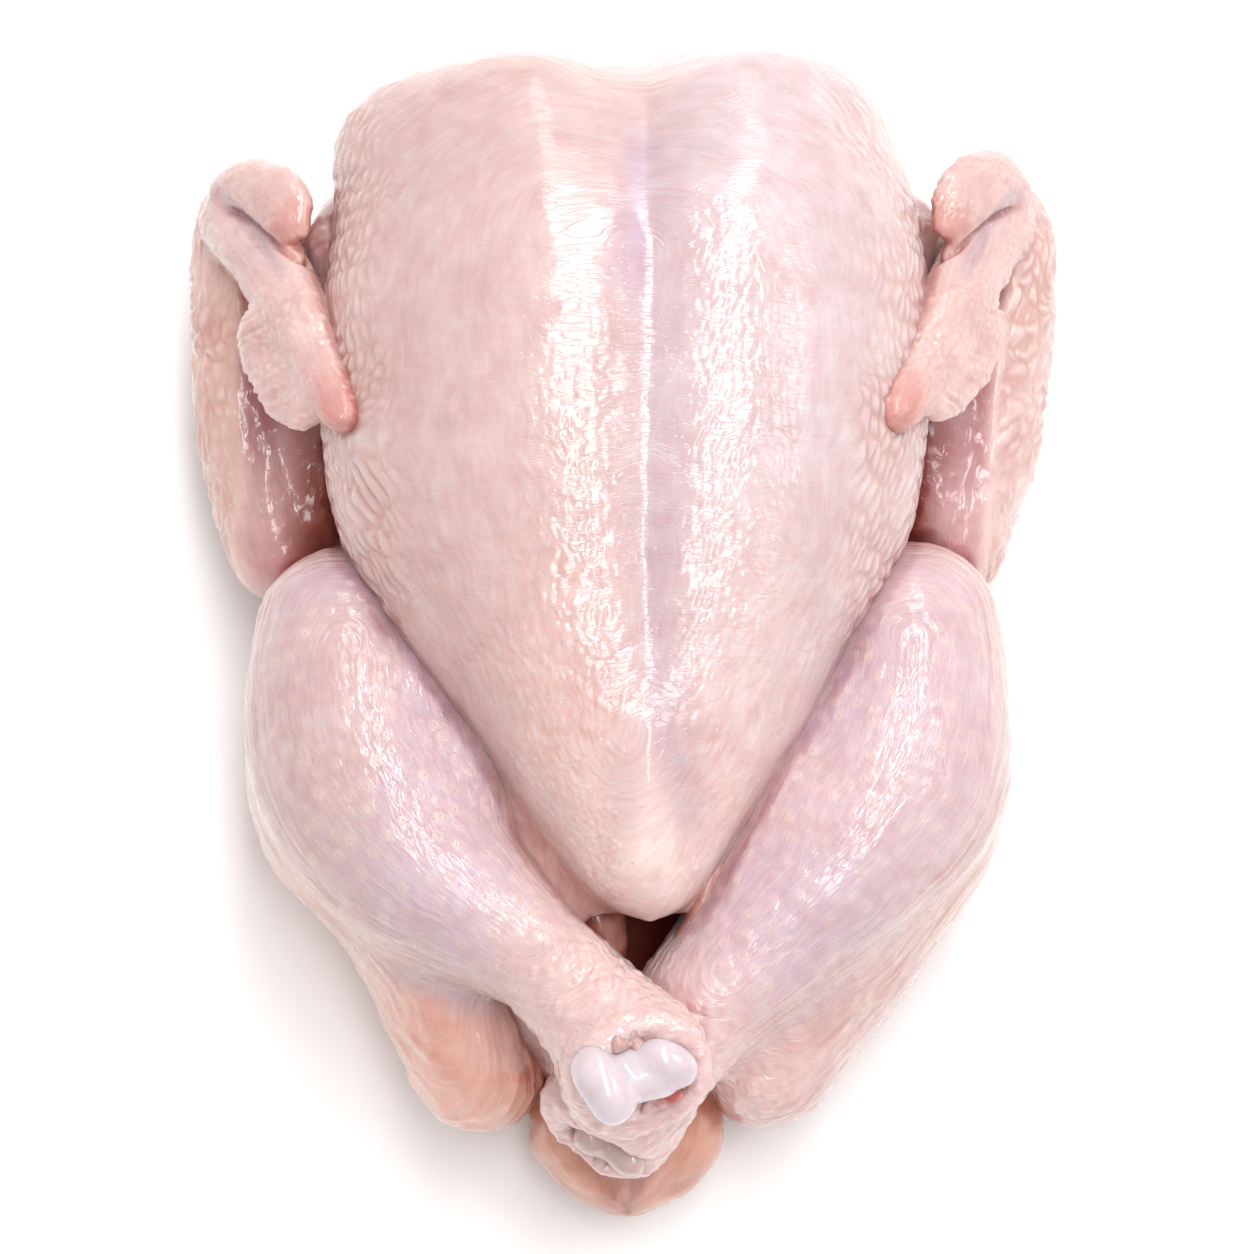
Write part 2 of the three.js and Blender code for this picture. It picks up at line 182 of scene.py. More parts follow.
def bell(distance, reach):
    """1 where the distance is 0, and soft down to nothing at about twice the reach."""
    return np.exp(-((distance / reach) ** 2))


def ramp(value, low, high):
    """0 below low, 1 above high, and a soft rise between. With low above high it falls."""
    share = np.clip((value - low) / (high - low), 0, 1)
    return share * share * (3 - 2 * share)


def contour(x, y, z, line, half):
    """Millimetres down from the crown of a long rounded form, and along and round it, the way the
    folds in its skin run. The crown follows y between the two ends of "line"."""
    girth = 40  # millimetres down for each radian round the form
    past = y - np.clip(y, *line)
    wide, end, high = half
    off = np.hypot(x / wide, past / end)
    turned = end * np.arctan2(past / end, np.abs(x / wide) + 1e-6) * ramp(off, 0, 1)
    return girth * np.arctan2(off, z / high), y - past + turned


def curve(stations, t):
    """A centripetal curve through the stations, at the shares t of their count."""
    p = np.asarray(stations, float)
    q = np.vstack([2 * p[0] - p[1], p, 2 * p[-1] - p[-2]])
    gap = np.maximum(np.linalg.norm(np.diff(q, axis=0), axis=1), 1e-6) ** 0.5
    at = np.clip(t, 0, 1) * (len(p) - 1)
    i = np.minimum(at.astype(int), len(p) - 2)
    w = (at - i)[:, None]
    a, b, c, d = q[i], q[i + 1], q[i + 2], q[i + 3]
    g, h, k = gap[i][:, None], gap[i + 1][:, None], gap[i + 2][:, None]
    rise = ((b - a) / g - (c - a) / (g + h) + (c - b) / h) * h
    fall = ((c - b) / h - (d - b) / (h + k) + (d - c) / k) * h
    return b + w * rise + w**2 * (3 * c - 3 * b - 2 * rise - fall) + w**3 * (2 * b - 2 * c + rise + fall)


def spine(stations):
    """Shares t along the curve through the middles, and the length reached at each."""
    t = np.linspace(0, 1, 201)
    middle = curve([s[:3] for s in stations], t)
    steps = np.linalg.norm(np.diff(middle, axis=0), axis=1)
    return t, np.concatenate([[0], np.cumsum(steps)])


def axes(stations, t, up=(0, 0, 1)):
    """The middle of a form, and the directions across it and above it, at the shares t."""
    middles, step = [s[:3] for s in stations], 1e-4
    axis = curve(middles, np.minimum(t + step, 1)) - curve(middles, np.maximum(t - step, 0))
    side = np.cross(axis, np.asarray(up, float))
    side /= np.linalg.norm(side, axis=1)[:, None]
    top = np.cross(side, axis)
    top /= np.linalg.norm(top, axis=1)[:, None]
    return curve(middles, t), side, top


def laid(stations, share, turn, swell=1.0, square=2.0, up=(0, 0, 1)):
    """Points on the skin of a form, at a share of its length and a turn round it. A "square" of 2
    gives an oval section, and more gives it corners."""
    ts, reached = spine(stations)
    t = np.interp(share * reached[-1], reached, ts)
    middle, side, top = axes(stations, t, up)
    girth = curve([s[3:] for s in stations], t)

    def flat(v):
        return np.sign(v) * np.abs(v) ** (2 / square)

    across = flat(np.sin(turn)) * girth[:, 0] * swell
    above = flat(np.cos(turn)) * girth[:, 1] * swell
    return middle + side * across[:, None] + top * above[:, None]


def form(name, stations, rings, ends, square=2.0, up=(0, 0, 1)):
    """A ball drawn out along the curve through the stations, with rounded ends."""
    bpy.ops.object.select_all(action="DESELECT")
    bpy.ops.mesh.primitive_uv_sphere_add(segments=rings[0], ring_count=rings[1], radius=1)
    ball = bpy.context.object
    ball.name = ball.data.name = name
    p = points(ball) * MM
    ring = np.arccos(np.clip(-p[:, 2], -1, 1)) / math.pi
    turn = np.arctan2(p[:, 1], p[:, 0])
    cap = 0.2  # share of the rings in each rounded end
    first, last = ends
    low, high = np.minimum(ring / cap, 1), np.minimum((1 - ring) / cap, 1)
    share = first + (ring - cap) / (1 - 2 * cap) * (1 - first - last)
    share = np.where(ring < cap, first * (1 - np.cos(low * math.pi / 2)), share)
    share = np.where(ring > 1 - cap, 1 - last * (1 - np.cos(high * math.pi / 2)), share)
    swell = np.sin(low * math.pi / 2) * np.sin(high * math.pi / 2)
    put(ball, laid(stations, share, turn, swell, square, up))
    return ball


def finish_with(piece, kind, **settings):
    """Adds a modifier and applies it."""
    bpy.ops.object.select_all(action="DESELECT")
    piece.select_set(True)
    bpy.context.view_layer.objects.active = piece
    modifier = piece.modifiers.new(kind.lower(), kind)
    for key, value in settings.items():
        setattr(modifier, key, value)
    bpy.ops.object.modifier_apply(modifier=modifier.name)


def cut(piece, *tools):
    """Takes the shape of each tool out of the piece."""
    for tool in tools:
        finish_with(piece, "BOOLEAN", operation="DIFFERENCE", solver="EXACT", object=tool)


def remove(*gone):
    for piece in gone:
        bpy.data.meshes.remove(piece.data)


def fused(name, forms, voxel):
    """Joins overlapping closed forms into one closed skin."""
    bpy.ops.object.select_all(action="DESELECT")
    for one in forms:
        one.select_set(True)
    bpy.context.view_layer.objects.active = forms[0]
    if len(forms) > 1:
        bpy.ops.object.join()
    piece = bpy.context.view_layer.objects.active
    piece.name = piece.data.name = name.replace(" ", "_")
    finish_with(piece, "REMESH", mode="VOXEL", voxel_size=voxel * MM, use_smooth_shade=True)
    return piece


def finer(piece, wanted):
    """Splits in four each face of a piece whose middle x, y, z and upward tilt are ones wanted."""
    middle, tilt = (np.empty(len(piece.data.polygons) * 3) for _ in range(2))
    piece.data.polygons.foreach_get("center", middle)
    piece.data.polygons.foreach_get("normal", tilt)
    x, y, z = middle.reshape(-1, 3).T / MM
    bpy.ops.object.select_all(action="DESELECT")
    piece.select_set(True)
    bpy.context.view_layer.objects.active = piece
    bpy.ops.object.mode_set(mode="EDIT")
    bpy.ops.mesh.select_mode(type="FACE")
    bpy.ops.mesh.select_all(action="DESELECT")
    bpy.ops.object.mode_set(mode="OBJECT")
    piece.data.polygons.foreach_set("select", wanted(x, y, z, tilt.reshape(-1, 3)[:, 2]))
    bpy.ops.object.mode_set(mode="EDIT")
    bpy.ops.mesh.subdivide(number_cuts=1)
    bpy.ops.object.mode_set(mode="OBJECT")


def relax(piece, times, weight=1.0):
    """Draws each point towards the middle of its neighbours."""
    edges = np.empty(len(piece.data.edges) * 2, int)
    piece.data.edges.foreach_get("vertices", edges)
    a, b = edges.reshape(-1, 2).T
    p = points(piece)
    count = np.bincount(edges, minlength=len(p))[:, None]
    weight = np.broadcast_to(np.asarray(weight, float), len(p))[:, None]
    for _ in range(times):
        total = [np.bincount(a, p[b, k], len(p)) + np.bincount(b, p[a, k], len(p)) for k in range(3)]
        p = p + 0.5 * weight * (np.stack(total, 1) / count - p)
    put(piece, p)


CHANCES = 24  # lumps and cobbles repeat after so many of them


def lumps(p, size, seed):
    """Soft lumps about "size" millimetres across, from -1 to 1."""
    table = np.random.default_rng(seed).uniform(-1, 1, (CHANCES,) * 3)
    q = p / np.asarray(size, float) + (10 * CHANCES + 0.5)
    i = np.floor(q).astype(int)
    f = q - i
    f = f * f * f * (f * (f * 6 - 15) + 10)
    total = np.zeros(len(p))
    for corner in itertools.product((0, 1), repeat=3):
        share = np.prod(np.where(corner, f, 1 - f), axis=1)
        total += share * table[tuple(((i + corner) % CHANCES).T)]
    return total


def streaky(across, along, seed):
    """Soft lumps laid out by two coordinates, each in units of one lump."""
    return lumps(np.stack([across, along, 0 * across], 1), 1, seed)


def cobbles(coordinates, seed, groove):
    """Rounded cobbles, 1 on top and 0 in the grooves between them. The coordinates are in units of
    one cobble."""
    q = np.stack(coordinates, 1)
    side = q.shape[1]
    middle = np.random.default_rng(seed).uniform(0.1, 0.9, (CHANCES,) * side + (side,))
    i = np.floor(q).astype(int)
    near, following = np.full(len(q), 9.0), np.full(len(q), 9.0)
    for step in itertools.product((-1, 0, 1), repeat=side):
        c = i + step
        d = np.linalg.norm(c + middle[tuple((c % CHANCES).T)] - q, axis=1)
        following = np.where(d < near, near, np.minimum(following, d))
        near = np.minimum(near, d)
    return ramp(following - near, 0, groove)


def raised(piece, p, n, rise):
    """Lifts each point off the skin by its rise, but not below the table."""
    p = p + n * rise[:, None]
    p[:, 2] = np.maximum(p[:, 2], 0)
    put(piece, p)
    return p


def blend(a, b, share):
    """Colour a, with its share of colour b on each point."""
    return a + (np.asarray(b) - a) * np.clip(share, 0, 1)[:, None]


def mottled(tone, p, large, small, seed):
    """Varies a colour in patches of two sizes, given as strength and size. Green and blue vary more
    than red, so a patch is redder or paler than the skin round it."""
    shade = 1 + large[0] * lumps(p, large[1], seed) + small[0] * lumps(p, small[1], seed + 1)
    return tone * shade[:, None] ** (1, 1.6, 1.6)


def paint(piece, name, colour):
    """Stores a colour on each point, for the piece's material to read."""
    colour = np.hstack([np.clip(colour, 0, 1), np.ones((len(colour), 1))])
    layer = piece.data.color_attributes.new(name, "FLOAT_COLOR", "POINT")
    layer.data.foreach_set("color", colour.ravel())


def mark(piece, name, value):
    """Stores a number, or three, on each point."""
    value = np.asarray(value, float)
    kind, field = ("FLOAT", "value") if value.ndim == 1 else ("FLOAT_VECTOR", "vector")
    piece.data.attributes.new(name, kind, "POINT").data.foreach_set(field, value.ravel())


def wet_skin(name, gloss=0.38, crinkles=1.0, grain=(1.5, 3.6), glow=0.55):
    """Raw skin: flesh that glows a little from inside, under a thin film of water. "flow" runs
    round and along the piece in metres, and its fine lines and pleats follow it. "spot" and "bare"
    lay out the follicles of bare skin, and "prick" the empty pores."""
    material = bpy.data.materials.new(name)
    material.use_nodes = True
    tree = material.node_tree
    skin = tree.nodes["Principled BSDF"]
    place = node(tree, "TexCoord").outputs["Object"]
    times, plus, minus = (partial(sums, tree, kind) for kind in ("MULTIPLY", "ADD", "SUBTRACT"))
    unsigned, soft = partial(sums, tree, "ABSOLUTE"), partial(fade, tree)

    def stored(what, kind="Fac"):
        return node(tree, "Attribute", attribute_name=what).outputs[kind]

    def noise(at, scale, detail):
        look = {"Vector": at, "Scale": scale, "Detail": detail, "Roughness": 0.6}
        return node(tree, "TexNoise", look).outputs["Fac"]

    def drawn(across, along, detail):
        """Noise drawn out along the flow: "across" and "along" are its sizes in millimetres."""
        size = {"Vector": flow, "Scale": (1 / across / MM, 1 / along / MM, 1 / 30 / MM)}
        return noise(node(tree, "Mapping", size).outputs[0], 1, detail)

    tone, flow, spot = stored("tone", "Color"), stored("flow", "Vector"), stored("spot", "Vector")
    bare, pleat, prick = stored("bare"), stored("pleat"), stored("prick")

    # Fine lines along the flow, and the pale and red fibres that show through the skin.
    line, fibre, blotch = drawn(0.42, 4.5, 2), drawn(1.3, 8, 2), noise(place, 190, 3)
    away = node(tree, "VectorMath", {0: place, 1: spot}, operation="DISTANCE").outputs["Value"]
    pin = times(soft(away, 0.2 * MM, 0.34 * MM, 1, 0), bare)
    speck = node(tree, "TexVoronoi", {"Vector": place, "Scale": 150, "Randomness": 1})
    speck = times(soft(speck.outputs["Distance"], 0.028, 0.045, 1, 0), prick)
    shade = times(soft(fibre, 0.3, 0.7, 0.94, 1.06), soft(blotch, 0.3, 0.7, 0.95, 1.04))
    shade = times(shade, soft(line, 0.3, 0.7, 0.96, 1.035))
    red = sums(tree, "POWER", shade, 0.4)
    tint = node(tree, "CombineColor", {"Red": red, "Green": shade, "Blue": shade}).outputs[0]
    both = {0: 1.0, 6: tone, 7: tint}
    colour = node(tree, "Mix", both, data_type="RGBA", blend_type="MULTIPLY").outputs[2]
    holes = times(sums(tree, "MAXIMUM", pin, speck), 0.45)
    colour = node(tree, "Mix", {0: holes, 6: colour, 7: PORE}, data_type="RGBA").outputs[2]

    # Relief, in millimetres: pleats, the rings round the follicles, and the thin creases of skin that
    # has wrinkled under its film of water.
    vein = drawn(*grain, 1)
    crease = soft(unsigned(minus(vein, 0.5)), 0.0, 0.035, -0.03 * crinkles, 0)
    swell = times(vein, 0.08 * crinkles)
    folds = times(times(fibre, 0.13), pleat)
    ring = times(soft(unsigned(minus(away, 1.0 * MM)), 0, 0.45 * MM, 0.045, 0), bare)
    relief = plus(ring, plus(folds, plus(crease, swell)))
    film = node(tree, "Bump", {"Strength": 1, "Distance": MM, "Height": relief}).outputs[0]

    link = tree.links.new
    link(colour, skin.inputs["Base Color"])
    link(film, skin.inputs["Normal"])
    link(film, skin.inputs["Coat Normal"])
    link(soft(blotch, 0.3, 0.7, gloss - 0.06, gloss + 0.08), skin.inputs["Roughness"])
    skin.inputs["Subsurface Weight"].default_value = glow
    skin.inputs["Subsurface Radius"].default_value = (1.0, 0.36, 0.25)
    skin.inputs["Subsurface Scale"].default_value = 3 * MM
    skin.inputs["Specular IOR Level"].default_value = 0.25
    skin.inputs["Coat Weight"].default_value = 1.0
    skin.inputs["Coat Roughness"].default_value = 0.04
    skin.inputs["Coat IOR"].default_value = 1.5
    return material


def keep(piece, material, cad_node):
    """Gives a finished piece its material and smooth shading, puts it on the root body, and hides the part of
    the model that it stands for.
    """
    piece.data.materials.clear()
    piece.data.materials.append(material)
    for face in piece.data.polygons:
        face.use_smooth = True
    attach(piece, "root")
    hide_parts(cad_node)


breast = form("breast", BREAST, (96, 96), (0.08, 0.06), 2.15)
p = points(breast)
x, y, z = p.T
near_neck, on_top = ramp(y, 76, 116), ramp(z, 45, 80)
p[:, 0] -= 3 * ramp(y, 86, 112)
p[:, 1] += (1.6 - 3.4 * bell(x + 1, 15)) * ramp(y, 98, 120)
p[:, 2] -= 4 * near_neck * on_top * bell(x - KEEL_X + 4 * near_neck, 15)
put(breast, p)
back = form("back", BACK, (72, 72), (0.1, 0.08), 2.25)
neck_skin = form("neck skin", NECK_SKIN, (48, 32), (0.3, 0.3))
hollow = form("hollow", CAVITY, (64, 64), (0.12, 0.12))
mouth = form("mouth", VENT, (48, 32), (0.12, 0.05), up=(0, 1, 0))
for part in (breast, back, neck_skin):
    cut(part, hollow, mouth)
remove(hollow, mouth)
trunk = fused("trunk", [breast, back, neck_skin], 2.65)
x, y, z = points(trunk).T
flank = ramp(z, 4, 14) * ramp(z, 72, 56) * ramp(y, -62, -46) * ramp(np.abs(x), 26, 36)
relax(trunk, 22, flank)
relax(trunk, 4)
finer(trunk, lambda x, y, z, up: (z > 62) & (up > 0.05) | (z > 40) & (np.abs(x) > 38) & (y > -10))
relax(trunk, 4, ramp(points(trunk)[:, 2], 50, 62))


def tracts(x, y):
    """How far each point lies in one of the two feather tracts of the breast."""
    lower = ramp(y, -4, -40)
    left = ramp(x, -27, -17) * ramp(x, 0, -6) * ramp(y, 66, 34)
    left = np.maximum(left, 0.8 * lower * ramp(x, 1, -4) * ramp(x, -34, -24))
    right = ramp(x, 11, 17) * ramp(x, 42, 32) * ramp(y, 88, 66)
    right = np.maximum(right, 0.8 * lower * ramp(x, 9, 14) * ramp(x, 44, 36))
    return np.maximum(left, right) * ramp(y, -76, -62)


def puckers(x, y, z, up):
    """How far each point lies where the breast skin puckers: the shoulders and the flanks."""
    shoulder = ramp(up, 0.9, 0.5) * ramp(z, 14, 34) * ramp(y, 0, 40)
    flank = ramp(np.abs(x), 40, 54) * ramp(y, 66, 40) * ramp(z, 16, 34) * ramp(up, 0.95, 0.7)
    return np.maximum(shoulder, 0.9 * flank) * ramp(up, -0.2, 0.1) * ramp(y, 124, 106)


def in_relief(x, y, z, up):
    """Where the skin of the breast has relief that needs the smallest faces."""
    on_breast = (z > 62) & (up > 0.4) & ((tracts(x, y) > 0.1) | (y < 14))
    return on_breast | (puckers(x, y, z, up) > 0.35) & (z > 42)


finer(trunk, in_relief)
relax(trunk, 2, ramp(points(trunk)[:, 2], 30, 40))

p, n = points(trunk), outward(trunk)
x, y, z = p.T
off_keel = x - KEEL_X
skin_top = ramp(n[:, 2], 0.0, 0.5) * ramp(z, 40, 60)
tract = tracts(x, y) * skin_top
# Streaks: on the right of the keel they lean both ways from the axis of the tract, like the
# barbs of a feather; on the left they lean one way only.
lean = np.where(x > KEEL_X, np.abs(x - TRACT_X[1]), x - TRACT_X[0])
row, column = (y + 1.7 * lean + 1.8 * lumps(p, 7, 3)) / 3.1, (x + 0.9 * lumps(p, 5, 4)) / 2.3
streaks = cobbles((row, column), 5, 0.45) * (0.7 + 0.3 * lumps(p, 4, 7))
# Folds and pebbles follow the contour of the breast. Folds are where it puckers, and pebbles are
# over its lower half.
width = np.interp(y, *BREAST_WIDTH)
down, around = contour(x - 1.5, y, z - 45, (-30, 72), (width, 48, 56))
waver = 3 * lumps(p, 22, 17) + 1.2 * lumps(p, 8, 18)
row = (down + waver) / 1.9
puckered = puckers(x, y, z, n[:, 2]) * (0.75 + 0.4 * lumps(p, 15, 19))
folds = cobbles((row + 0.5 * lumps(p, 6, 14), (around + 2 * waver) / 5), 8, 0.7) - 0.5
pebbled = ramp(y, 34, -20) * skin_top * ramp(np.abs(off_keel), 3, 9) * (0.8 + 0.4 * lumps(p, 12, 21))
column = (around - 3 * waver) / 3.8 + 0.3 * lumps(p, 4, 23)
pebbles = cobbles((row + 0.5 * lumps(p, 5, 22), column), 9, 0.6) - 0.5
# The breast falls to the keel in a valley like an open V, and towards the tip it parts into two
# shallow ones.
on_keel = ramp(y, -46, -24) * ramp(y, 66, 48) * skin_top
wandering = off_keel - 0.8 * lumps(p, 16, 10)
sharp = np.sqrt(wandering**2 + (1.3 + 0.8 * lumps(p, 11, 24)) ** 2)
sharp = 2.5 * np.log1p(np.exp((25 - sharp) / 2.5)) / 25
lower = ramp(y, -6, -46)
parting, narrow = 9 * ramp(y, -8, -50), 15 - 8 * ramp(y, 0, -50)
valley = np.maximum(bell(off_keel - parting, narrow), bell(off_keel + parting, narrow))
valley = valley * ramp(y, -66, -44)
rise = 0.5 * lumps(p, 34, 1) + 0.25 * lumps(p, 15, 2) + 0.12 * lumps(p, 5, 6)
rise -= (KEEL_DEPTH * (1 - lower) * sharp + TIP_DEPTH * lower * valley) * skin_top
pebbly = PEBBLE * pebbled * (1 - 0.6 * tract) * pebbles
rise += STREAK * tract * (streaks - 0.5) + FOLD * puckered * folds + pebbly
rise += CRUMPLE * skin_top * streaky((down + waver) / 3.4, (around - waver) / 1.3, 25)
p = raised(trunk, p, n, rise)
x, y, z = p.T

tone = np.tile(PALE, (len(p), 1))
# Painted light: the right lobe is painted lighter, as light falls on the breast from the right.
tone = blend(tone, LIT_RIGHT_LOBE, 0.9 * ramp(x, 2, 18))
cleft = bell(off_keel + 1 - 2 * lumps(p, 12, 20), 4) * ramp(y, 48, 72) * ramp(y, 104, 88)
tone = blend(tone, CLEFT, 0.75 * cleft)
tone = blend(tone, ON_KEEL, 0.4 * bell(wandering, 1.2) * on_keel)
tone = blend(tone, PEACH, ramp(y, -8, -54) * ramp(z, 50, 70))
# Lavender of the thin skin in the keel's valley, with painted shade: it is full strength right of the keel,
# where the valley wall turns away from the light.
in_valley = valley**2 * np.where(off_keel > 0, 1, 0.35) * skin_top * ramp(y, 110, 90)
tone = blend(tone, LAVENDER, 0.9 * in_valley)
# Painted shade: the lower sides of the breast, turned away from the light overhead, are painted darker and
# redder.
tone = blend(tone, SHADED_FLANK, ramp(z, 76, 34) * ramp(n[:, 2], 0.75, 0.1))
# Painted shade in the grooves of the puckered folds, and painted light on their tops.
tone = blend(tone, SHADED_FOLD_GROOVE, 0.75 * puckered * (0.5 - folds))
tone = blend(tone, LIT_FOLD_TOP, 0.35 * puckered * (0.5 + folds))
# Painted light on the raised tops of the streaks.
tone = blend(tone, LIT_STREAK_TOP, 0.35 * tract * streaks)
# Painted shade in the grooves between the pebbles, stronger left of the keel, which is less lit.
tone = blend(tone, SHADE_BETWEEN_PEBBLES, np.where(x > KEEL_X, 0.4, 0.6) * pebbled * (0.5 - pebbles))
tone = mottled(tone, p, (0.04, 12), (0.04, 4), 12)
inward = np.sum(n * (np.array((2, 0, 45)) - p) * (1, 0, 1), axis=1)
in_hollow = (inward > 0) * ramp(z, 10, 14) * ramp(np.abs(x - 2), 42, 38) * ramp(y, 104, 99)
tone = blend(tone, RAW_MEAT, in_hollow)
# Painted shadow: the skin beside the vent, where the opening between breast and leg lies in shade, is painted
# dark red.
shadow_beside_vent = bell(x + 13 + 0.4 * (y + 52), 8) * ramp(y, -38, -46) * ramp(y, -80, -70) * ramp(z, 62, 54)
tone = blend(tone, SHADOW_BESIDE_VENT, 0.85 * shadow_beside_vent)
paint(trunk, "tone", tone)
mark(trunk, "flow", np.stack([down + waver, around - waver, x], 1) * MM)
mark(trunk, "pleat", 0.15 + 0.6 * puckered + 0.25 * np.maximum(tract, pebbled))
mark(trunk, "prick", 0.8 * skin_top)
breast_skin = wet_skin("wet breast skin", crinkles=1.2, grain=(3.6, 1.2))
keep(trunk, breast_skin, "carcass")

# ---------------------------------------------------------------- legs
# Each leg is a drumstick and a thigh in one skin, with a deep fold between them. The foot is cut
# off at the hock, where the skin has drawn back into a lip round the end of the bone. The skin of
# the leg shows the rows of pale follicles that its feathers grew from.
DRUMSTICKS = {
    "right": [
        (-58, 17, 44, 15, 17), (-60, 1, 46, 19, 22), (-59, -16, 48, 23, 25.5), (-53, -34, 50, 25.5, 27),
        (-43, -51, 54, 22, 24), (-29, -64.5, 60, 16, 17), (-15.5, -76, 66.5, 12, 12.5),
        (-5, -87.5, 71, 13.5, 13), (2, -97, 75, 16.5, 15), (7, -105, 78, 15, 13),
    ],
    "left": [
        (60, 19, 42, 15, 17), (61, 4, 44, 19, 22), (60.5, -12, 46, 22, 25.5), (56, -33, 48, 26, 27),
        (44, -51, 50, 22.5, 24), (30, -67, 52, 18, 18.5), (17, -81, 53, 14.5, 14.5),
        (6, -93, 51, 14, 13.5), (-3, -103, 48, 15, 13.5), (-8, -111, 46, 14, 12),
    ],
}
THIGHS = {
    "right": [
        (-60, 8, 34, 14, 22), (-62, -14, 33, 19.5, 27), (-59.5, -36, 32, 21, 29), (-47, -58, 30, 16.5, 28),
        (-36.5, -78, 28, 16.5, 27), (-30.5, -93, 26, 15, 23), (-24, -105, 24, 10, 16),
    ],
    "left": [
        (61, 8, 34, 14, 22), (62.5, -14, 33, 19.5, 27), (60, -38, 32, 21.5, 29), (50, -61, 30, 18, 28),
        (37, -80, 28, 17, 27), (29.5, -94, 26, 14.5, 23), (25, -105, 24, 10, 16),
    ],
}
CUT_BOWLS = {"right": ((5.5, -103, 91), 12), "left": ((-7, -114, 47), 9)}  # middle, radius
LIPS = {
    "right": [
        (-12, -97, 82, 2.5, 2.5), (-10.5, -103, 79, 2.5, 2.5), (-6, -108.5, 75, 2.5, 2.5),
        (-0.5, -110.5, 72, 2.5, 2.5), (5, -109, 73, 2.5, 2.5), (11, -106, 76, 2.5, 2.5),
        (15.5, -102, 80, 2.5, 2.5), (16.5, -96.5, 83, 2.5, 2.5), (13.5, -91.5, 85, 2.5, 2.5),
        (7, -88.5, 86, 2.5, 2.5), (0, -89.5, 86, 2.5, 2.5), (-7, -92.5, 85, 2.5, 2.5),
        (-12, -97, 82, 2.5, 2.5),
    ],
    "left": [
        (-16, -99.5, 55, 2.4, 2.4), (-16, -103, 51, 2.8, 2.8), (-14, -107.5, 47, 2.8, 2.8),
        (-9, -111.5, 43, 2.4, 2.4), (-3, -116, 41, 2.4, 2.4), (3, -116.5, 42, 2.4, 2.4),
        (8.5, -112.5, 46, 2.4, 2.4), (11.5, -107, 50, 2.6, 2.6), (13.5, -102.5, 54, 2.6, 2.6),
    ],
}
INNER_ROLLS = {  # where the drumstick is pressed against the breast
    "right": [
        (-55, 4, 47, 8, 15), (-45, -15, 54, 10, 17), (-36, -33, 55, 11, 17), (-29.5, -43, 55, 8, 14),
        (-24, -50, 54, 4, 9),
    ],
    "left": [
        (55, 2, 45, 8, 15), (50, -15, 53, 10, 17), (39.5, -33, 54, 11, 17), (31, -48, 55, 9, 15),
        (24, -60, 56, 7, 12), (19, -67, 56, 4, 9),
    ],
}
DRUM_GIRTH = (  # shares of the length of a drumstick, and its radius there
    (0, 0.1, 0.22, 0.35, 0.48, 0.61, 0.74, 1),
    (17, 22, 25.5, 27, 24, 17, 13, 15),
)
FOLLICLE_STEP = 4.7
LEG_TONES = {"right": (0.61, 0.425, 0.435), "left": (0.655, 0.468, 0.50)}
THIGH_TONES = {"right": (0.75, 0.42, 0.34), "left": (0.62, 0.385, 0.36)}
MAUVE, SHADED_OUTER_LEG, FOLLICLE = (0.61, 0.45, 0.51), (0.67, 0.42, 0.36), (0.80, 0.64, 0.54)
LIT_WRINKLE_TOP, SHADED_WRINKLE_GROOVE, HOCK = (0.74, 0.55, 0.50), (0.58, 0.33, 0.27), (0.80, 0.57, 0.53)


def along(stations, p, up=(0, 0, 1)):
    """How far along a form each point lies, in millimetres, its turn round the form, and its
    distance from the form's axis."""
    t, reached = spine(stations)
    middle, side, top = axes(stations, t, up)
    near = np.argmin(((p[:, None, :] - middle[None, ::4]) ** 2).sum(2), axis=1) * 4
    v = p - middle[near]
    axis = np.cross(top, side)[near]
    extra = (v * axis).sum(1)
    turn = np.arctan2((v * side[near]).sum(1), (v * top[near]).sum(1))
    return reached[near] + extra, turn, np.linalg.norm(v, axis=1)


def follicles(stations, seed):
    """Rows of follicles round a form, staggered and a little uneven."""
    chance = np.random.default_rng(seed)
    _, reached = spine(stations)
    found = []
    for row, at in enumerate(np.arange(8, reached[-1] - 8, FOLLICLE_STEP * 0.87)):
        here = np.full(2, at / reached[-1])
        one_side = laid(stations, here, np.array([0, math.pi / 2]))
        other_side = laid(stations, here, np.array([math.pi, -math.pi / 2]))
        girth = np.linalg.norm(one_side - other_side, axis=1).mean()
        count = max(4, round(math.pi * girth / FOLLICLE_STEP))
        turn = (np.arange(count) + 0.5 * (row % 2)) / count * 2 * math.pi
        turn += chance.normal(0, 0.10, count) * 2 * math.pi / count
        share = (at + chance.normal(0, 0.45, count)) / reached[-1]
        found.append(laid(stations, share, turn, 1.0, 2.1))
    return np.vstack(found)


def searchable(spots):
    """The spots, sorted by place so that the nearest one is found fast."""
    tree = KDTree(len(spots))
    for i, spot in enumerate(spots):
        tree.insert(spot, i)
    tree.balance()
    return tree


def nearest(spots, p):
    """How far each point is from the nearest of the spots, and which spot that is."""
    tree = searchable(spots)
    found = [tree.find(q) for q in p]
    return np.array([f[2] for f in found]), np.array([f[1] for f in found])


